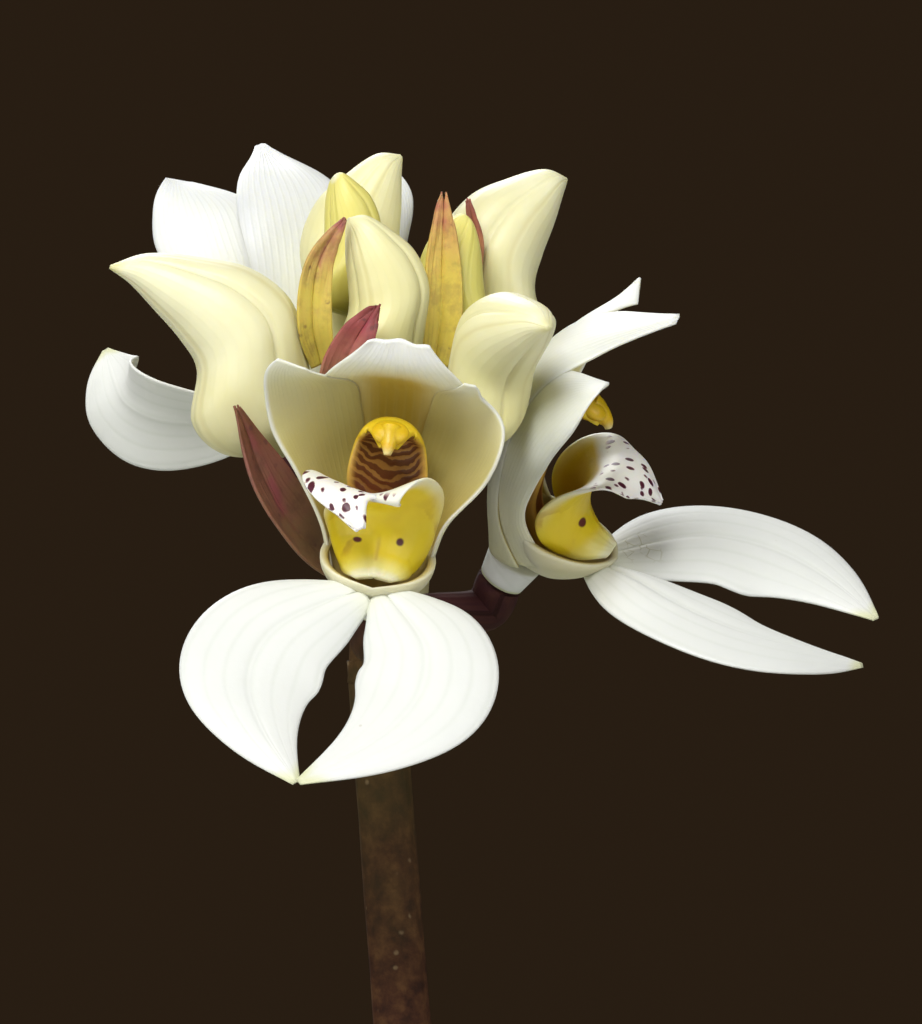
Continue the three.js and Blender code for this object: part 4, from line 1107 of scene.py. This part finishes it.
# name: how closed, how plump, how young
SHUT = {
    "bud_left": (0, 1, 0.0),
    "bud_right": (0.2, 0.88, 0.15),
    "bud_centre": (0.55, 0.9, 0.3),
    "bud_behind_left": (0.9, 0.8, 1.0),
    "bud_behind_right": (0.9, 0.8, 1.0),
    "bud_far_right": (0.45, 0.95, 0.05),
    "bud_behind_centre": (0.5, 0.82, 0.25),
    "bud_low_back": (0.1, 0.95, 0.1),
}


def bud(closed, plump, sides=96, rows=72):
    rings = []
    marks = []
    for i in range(rows + 1):
        t = i / rows
        lean = closed * t
        squeeze = Vector((1 - 0.5 * lean, 1 + 0.12 * lean))
        back = through(BUD_BACK, t) * squeeze
        front = through(BUD_FRONT, t) * squeeze
        half = through(BUD_HALF, t) * plump
        ring = []
        for j in range(sides):
            angle = -2 * math.pi * j / sides
            swollen = 0.07 * max(0, math.cos(3 * angle - math.pi)) ** 4
            groove = 0.085 * math.exp(-((1 - math.cos(3 * angle - math.pi)) / 0.012))
            seam = 1 - (swollen + groove) * math.sin(math.pi * t)
            seam += 0.012 * noise.noise(Vector((math.cos(angle), math.sin(angle), t * 3)))
            deep = 0.5 + 0.5 * math.cos(angle) * seam
            ring.append(Vector((
                math.sin(angle) * half * seam,
                -(front.x + (back.x - front.x) * deep),
                front.y + (back.y - front.y) * deep,
            )))
            marks.append((t, j / sides, 0))
        rings.append(ring)
    foot_line = [OVARY_AXIS * -0.6, OVARY_AXIS * RECEPTACLE]
    points, faces, foot_marks = stalk(foot_line, (1.6, OVARY_RADIUS), 4, 32)
    return (*tube(rings), marks), (points, faces, [(-0.2, turn, 0) for _, turn, _ in foot_marks])


def bud_paint(young):
    ripe = 1 - young

    def mixed(old, new):
        return tuple(a * ripe + b * young for a, b in zip(old, new))

    def paint_bud(paint):
        t, turn, _ = paint.marks()
        place = paint.where()
        broad = paint.cloud(place, 150, 3)
        colour = (broad * 0.5 + t * 0.5).ramp(
            (0, mixed((0.42, 0.37, 0.12), (0.42, 0.38, 0.07))),
            (0.3, mixed((0.7, 0.66, 0.34), (0.62, 0.57, 0.13))),
            (0.65, mixed((0.83, 0.82, 0.57), (0.75, 0.69, 0.2))),
            (1, mixed((0.87, 0.87, 0.68), (0.8, 0.77, 0.34))))
        seam = (turn * 3 + 0.5).wave(1) ** 90
        colour = colour.over(seam * 0.5, mixed((0.66, 0.6, 0.3), (0.5, 0.46, 0.08)))
        veins = (turn + paint.cloud(place, 200) * 0.006).wave(27) ** 3
        colour = colour.over(veins * 0.07, mixed((0.68, 0.66, 0.36), (0.55, 0.55, 0.12)))
        shade = (t + broad * 0.1).rise(0.24, 0.02)
        colour = colour.over(shade * 0.7, mixed((0.3, 0.26, 0.1), (0.34, 0.3, 0.05)))
        tip = (t + broad * 0.04).rise(0.93, 1.01)
        colour = colour.over(tip * 0.75, mixed((0.74, 0.7, 0.32), (0.87, 0.86, 0.66)))
        colour = colour.over(t.rise(-0.05, -0.15), (0.36, 0.34, 0.12))
        freckle = paint.cells(place, 330).rise(0.07, 0.03) * paint.cloud(place, 140).rise(0.56, 0.62)
        colour = colour.over(freckle * 0.55, (0.4, 0.3, 0.14))
        relief = veins * 0.2 + paint.cloud(place, 1400, 3) * 0.4 - seam * 0.6
        return colour, 0.38 + broad * 0.18, relief, 0.04
    return paint_bud


for name, place in BUDS.items():
    closed, plump, young = SHUT[name]
    cream = fleshy(name + "_cream", bud_paint(young), 0.25, 0.0018, (1.0, 0.85, 0.4))
    piece_of(name + "_shut", laid(place, *bud(closed, plump)), cream, name, "bud")


# Bracts: a thin, pointed, withering scale under each pedicel, yellow at the foot and flushed pink,
# crimson or brown towards its curled or torn tip. The lowest is long, dark and folded.
# name: line from root to tip, way its face looks, half width, slot, colours from foot to tip, fork
BRACTS = {
    "bract_lower_left": (
        ((-3.0, -2.4, 6.8), (-6.1, -6.4, 9.2), (-9.0, -8.6, 13.4), (-11.4, -9.9, 19.4)),
        (0.8, -0.8, 0.4), 3.0,
        "bract_dark",
        ((0.18, 0.11, 0.04), (0.21, 0.11, 0.05), (0.22, 0.08, 0.055), (0.17, 0.06, 0.025)), 0),
    "bract_crimson": (
        ((-3.6, -6.6, 20.2), (-3.2, -9.0, 22.4), (-2.0, -9.8, 25.0), (-0.6, -9.6, 27.2)), (0, -1, 0.2), 1.8,
        "bract_crimson", ((0.38, 0.22, 0.1), (0.34, 0.12, 0.08), (0.3, 0.06, 0.06), (0.22, 0.04, 0.04)), 0),
    "bract_curled": (
        ((-5.0, -4.7, 22.8), (-5.6, -5.6, 26.0), (-5.2, -5.8, 30.4), (-3.2, -6.0, 34.0)), (0.3, -1, 0), 1.5,
        "bract_yellow", ((0.5, 0.4, 0.06), (0.62, 0.5, 0.08), (0.56, 0.38, 0.1), (0.34, 0.1, 0.08)), 0),
    "bract_forked": (
        ((3.8, -0.2, 22.8), (4.3, -0.6, 26.8), (4.4, -1.1, 31.4), (4.5, -1.7, 36.2)), (0.2, -1, 0), 1.7,
        "bract_yellow", ((0.6, 0.48, 0.06), (0.74, 0.58, 0.1), (0.68, 0.44, 0.12), (0.44, 0.14, 0.1)), 1),
    "bract_slim": (
        ((5.0, 6.9, 26.0), (6.2, 6.6, 29.0), (7.0, 6.0, 32.2), (6.4, 5.4, 35.6)), (0.2, -1, 0), 0.8,
        "bract_yellow", ((0.55, 0.42, 0.08), (0.48, 0.26, 0.08), (0.4, 0.14, 0.08), (0.28, 0.08, 0.06)), 0),
}


def bract_paint(shades):
    foot, low, high, tip = shades

    def paint_bract(paint):
        t, v, face = paint.marks()
        place = paint.where()
        rough = paint.cloud(place, 330, 5, 0.65)
        colour = (t + (rough - 0.5) * 0.8).ramp((0, foot), (0.4, low), (0.75, high), (1, tip))
        shaded = paint.cloud(place, 560, 4, 0.6).rise(0.46, 0.66)
        colour = colour.over(shaded * 0.45, tuple(c * 0.45 for c in high))
        stripe = abs(v + (paint.cloud(place, 170) - 0.5) * 1.6).rise(0.4, 0.05) * rough.rise(0.42, 0.58)
        colour = colour.over(stripe * t.rise(0.3, 0.6) * t.rise(0.97, 0.8) * 0.55, (0.3, 0.05, 0.08))
        veins = (v + (rough - 0.5) * 0.3).wave(4) ** 3 * paint.cloud(place, 260).rise(0.35, 0.65)
        colour = colour.over(veins * 0.2, (0.2, 0.07, 0.04))
        specks = paint.cells(place, 900).rise(0.26, 0.12) * rough.rise(0.48, 0.58)
        colour = colour.over(specks * 0.7, (0.1, 0.03, 0.03))
        return colour, 0.45 + rough * 0.3, veins * 0.3 + rough * 0.8, 0.1
    return paint_bract


BRACT_TAPER = (0.7, 1, 0.95, 0.7, 0.12)
BRACT_CURL = (1.0, 0.9, 0.7, 0.6, 0.5)
BRACT = 0.42
for name, (line, facing, half, slot, shades, fork) in BRACTS.items():
    midrib = [Vector(p) + Vector((0, 0, NECK)) for p in line]

    def crumple(t, v, seed=len(name)):
        return 0.25 * t * noise.noise(Vector((t * 5, v * 2, seed))) - 0.2 * math.exp(-(v / 0.15) ** 2)

    grid = blade(midrib, Vector(facing), [w * half for w in BRACT_TAPER], BRACT_CURL, 48, 24, crumple, 0.16)
    for i, row in enumerate(grid):
        t = i / (len(grid) - 1)
        for j, point in enumerate(row):
            v = 2 * j / (len(row) - 1) - 1
            notch = fork * 2.6 * max(0, (t - 0.72) / 0.28) * math.exp(-((v - 0.15) / 0.32) ** 2)
            torn = 0.5 * t ** 3 * noise.noise(Vector((v * 4, t * 6, half)))
            row[j] = point - heading(midrib, t) * (notch + torn)
    tint = finish_of(name + "_tint", bract_paint(shades), Subsurface_Weight=0.12, Subsurface_Scale=0.0008)
    piece_of(name + "_scale", sheet(grid, BRACT, 0.4), tint, name, slot)


# Floor: a plain pale disc that the pot stands on. It isn't part of the plant.
def floor_paint(paint):
    cloud = paint.cloud(paint.where(), 3, 3)
    return cloud.ramp((0, (0.6, 0.59, 0.57)), (1, (0.66, 0.65, 0.63))), 0.7 + cloud * 0.1, cloud, 0.0


floor_mesh = mesh_of("floor", *turned([(0.1, -0.4), (700, -0.4), (1400, -0.4)], 96))
floor_mesh.materials.append(finish_of("pale_floor", floor_paint))
floor = shown("floor", floor_mesh)


# Light: a dim brown room, a large soft lamp high in front, broad fills from both sides and a soft lamp
# behind that draws the edges. The camera stands level with the flowers, far off, on a long lens.
FLOWERS = Vector((5.85, 0, 411.4)) * MM
CAMERA_AWAY = 1.2
FLOWERS_NEARER = 0.01
SHOWN_HEIGHT = 0.0788
SENSOR = 36
world = bpy.data.worlds.new("dim_room")
world.use_nodes = True
world.node_tree.nodes["Background"].inputs["Color"].default_value = (0.021, 0.0125, 0.0065, 1)
world.node_tree.nodes["Background"].inputs["Strength"].default_value = 1.0
bpy.context.scene.world = world
bpy.context.scene.view_settings.view_transform = "Standard"
for name, spot, size, watts, tint in (
    ("front_lamp", (-0.25, -0.8, 1.15), 0.6, 13, (1.0, 0.99, 0.96)),
    ("right_fill", (1.0, -0.8, 0.7), 0.9, 6.5, (1.0, 0.99, 0.98)),
    ("left_fill", (-1.0, -0.5, 0.4), 0.9, 5, (1.0, 0.98, 0.95)),
    ("back_lamp", (-0.2, 0.9, 1.1), 0.6, 7, (0.97, 0.98, 1.0)),
):
    lamp = bpy.data.lights.new(name, "AREA")
    lamp.shape = "DISK"
    lamp.size = size
    lamp.energy = watts
    lamp.color = tint
    holder = shown(name, lamp)
    holder.location = spot
    holder.rotation_euler = (FLOWERS - Vector(spot)).to_track_quat("-Z", "Y").to_euler()

camera_lens = bpy.data.cameras.new("camera")
camera_lens.sensor_fit = "VERTICAL"
camera_lens.sensor_height = SENSOR
camera_lens.lens = SENSOR * (CAMERA_AWAY - FLOWERS_NEARER) / SHOWN_HEIGHT
camera_lens.clip_start = 0.05
camera = shown("camera", camera_lens)
camera.location = FLOWERS + Vector((0, -CAMERA_AWAY, 0))
camera.rotation_euler = (math.pi / 2, 0, 0)
bpy.context.scene.camera = camera
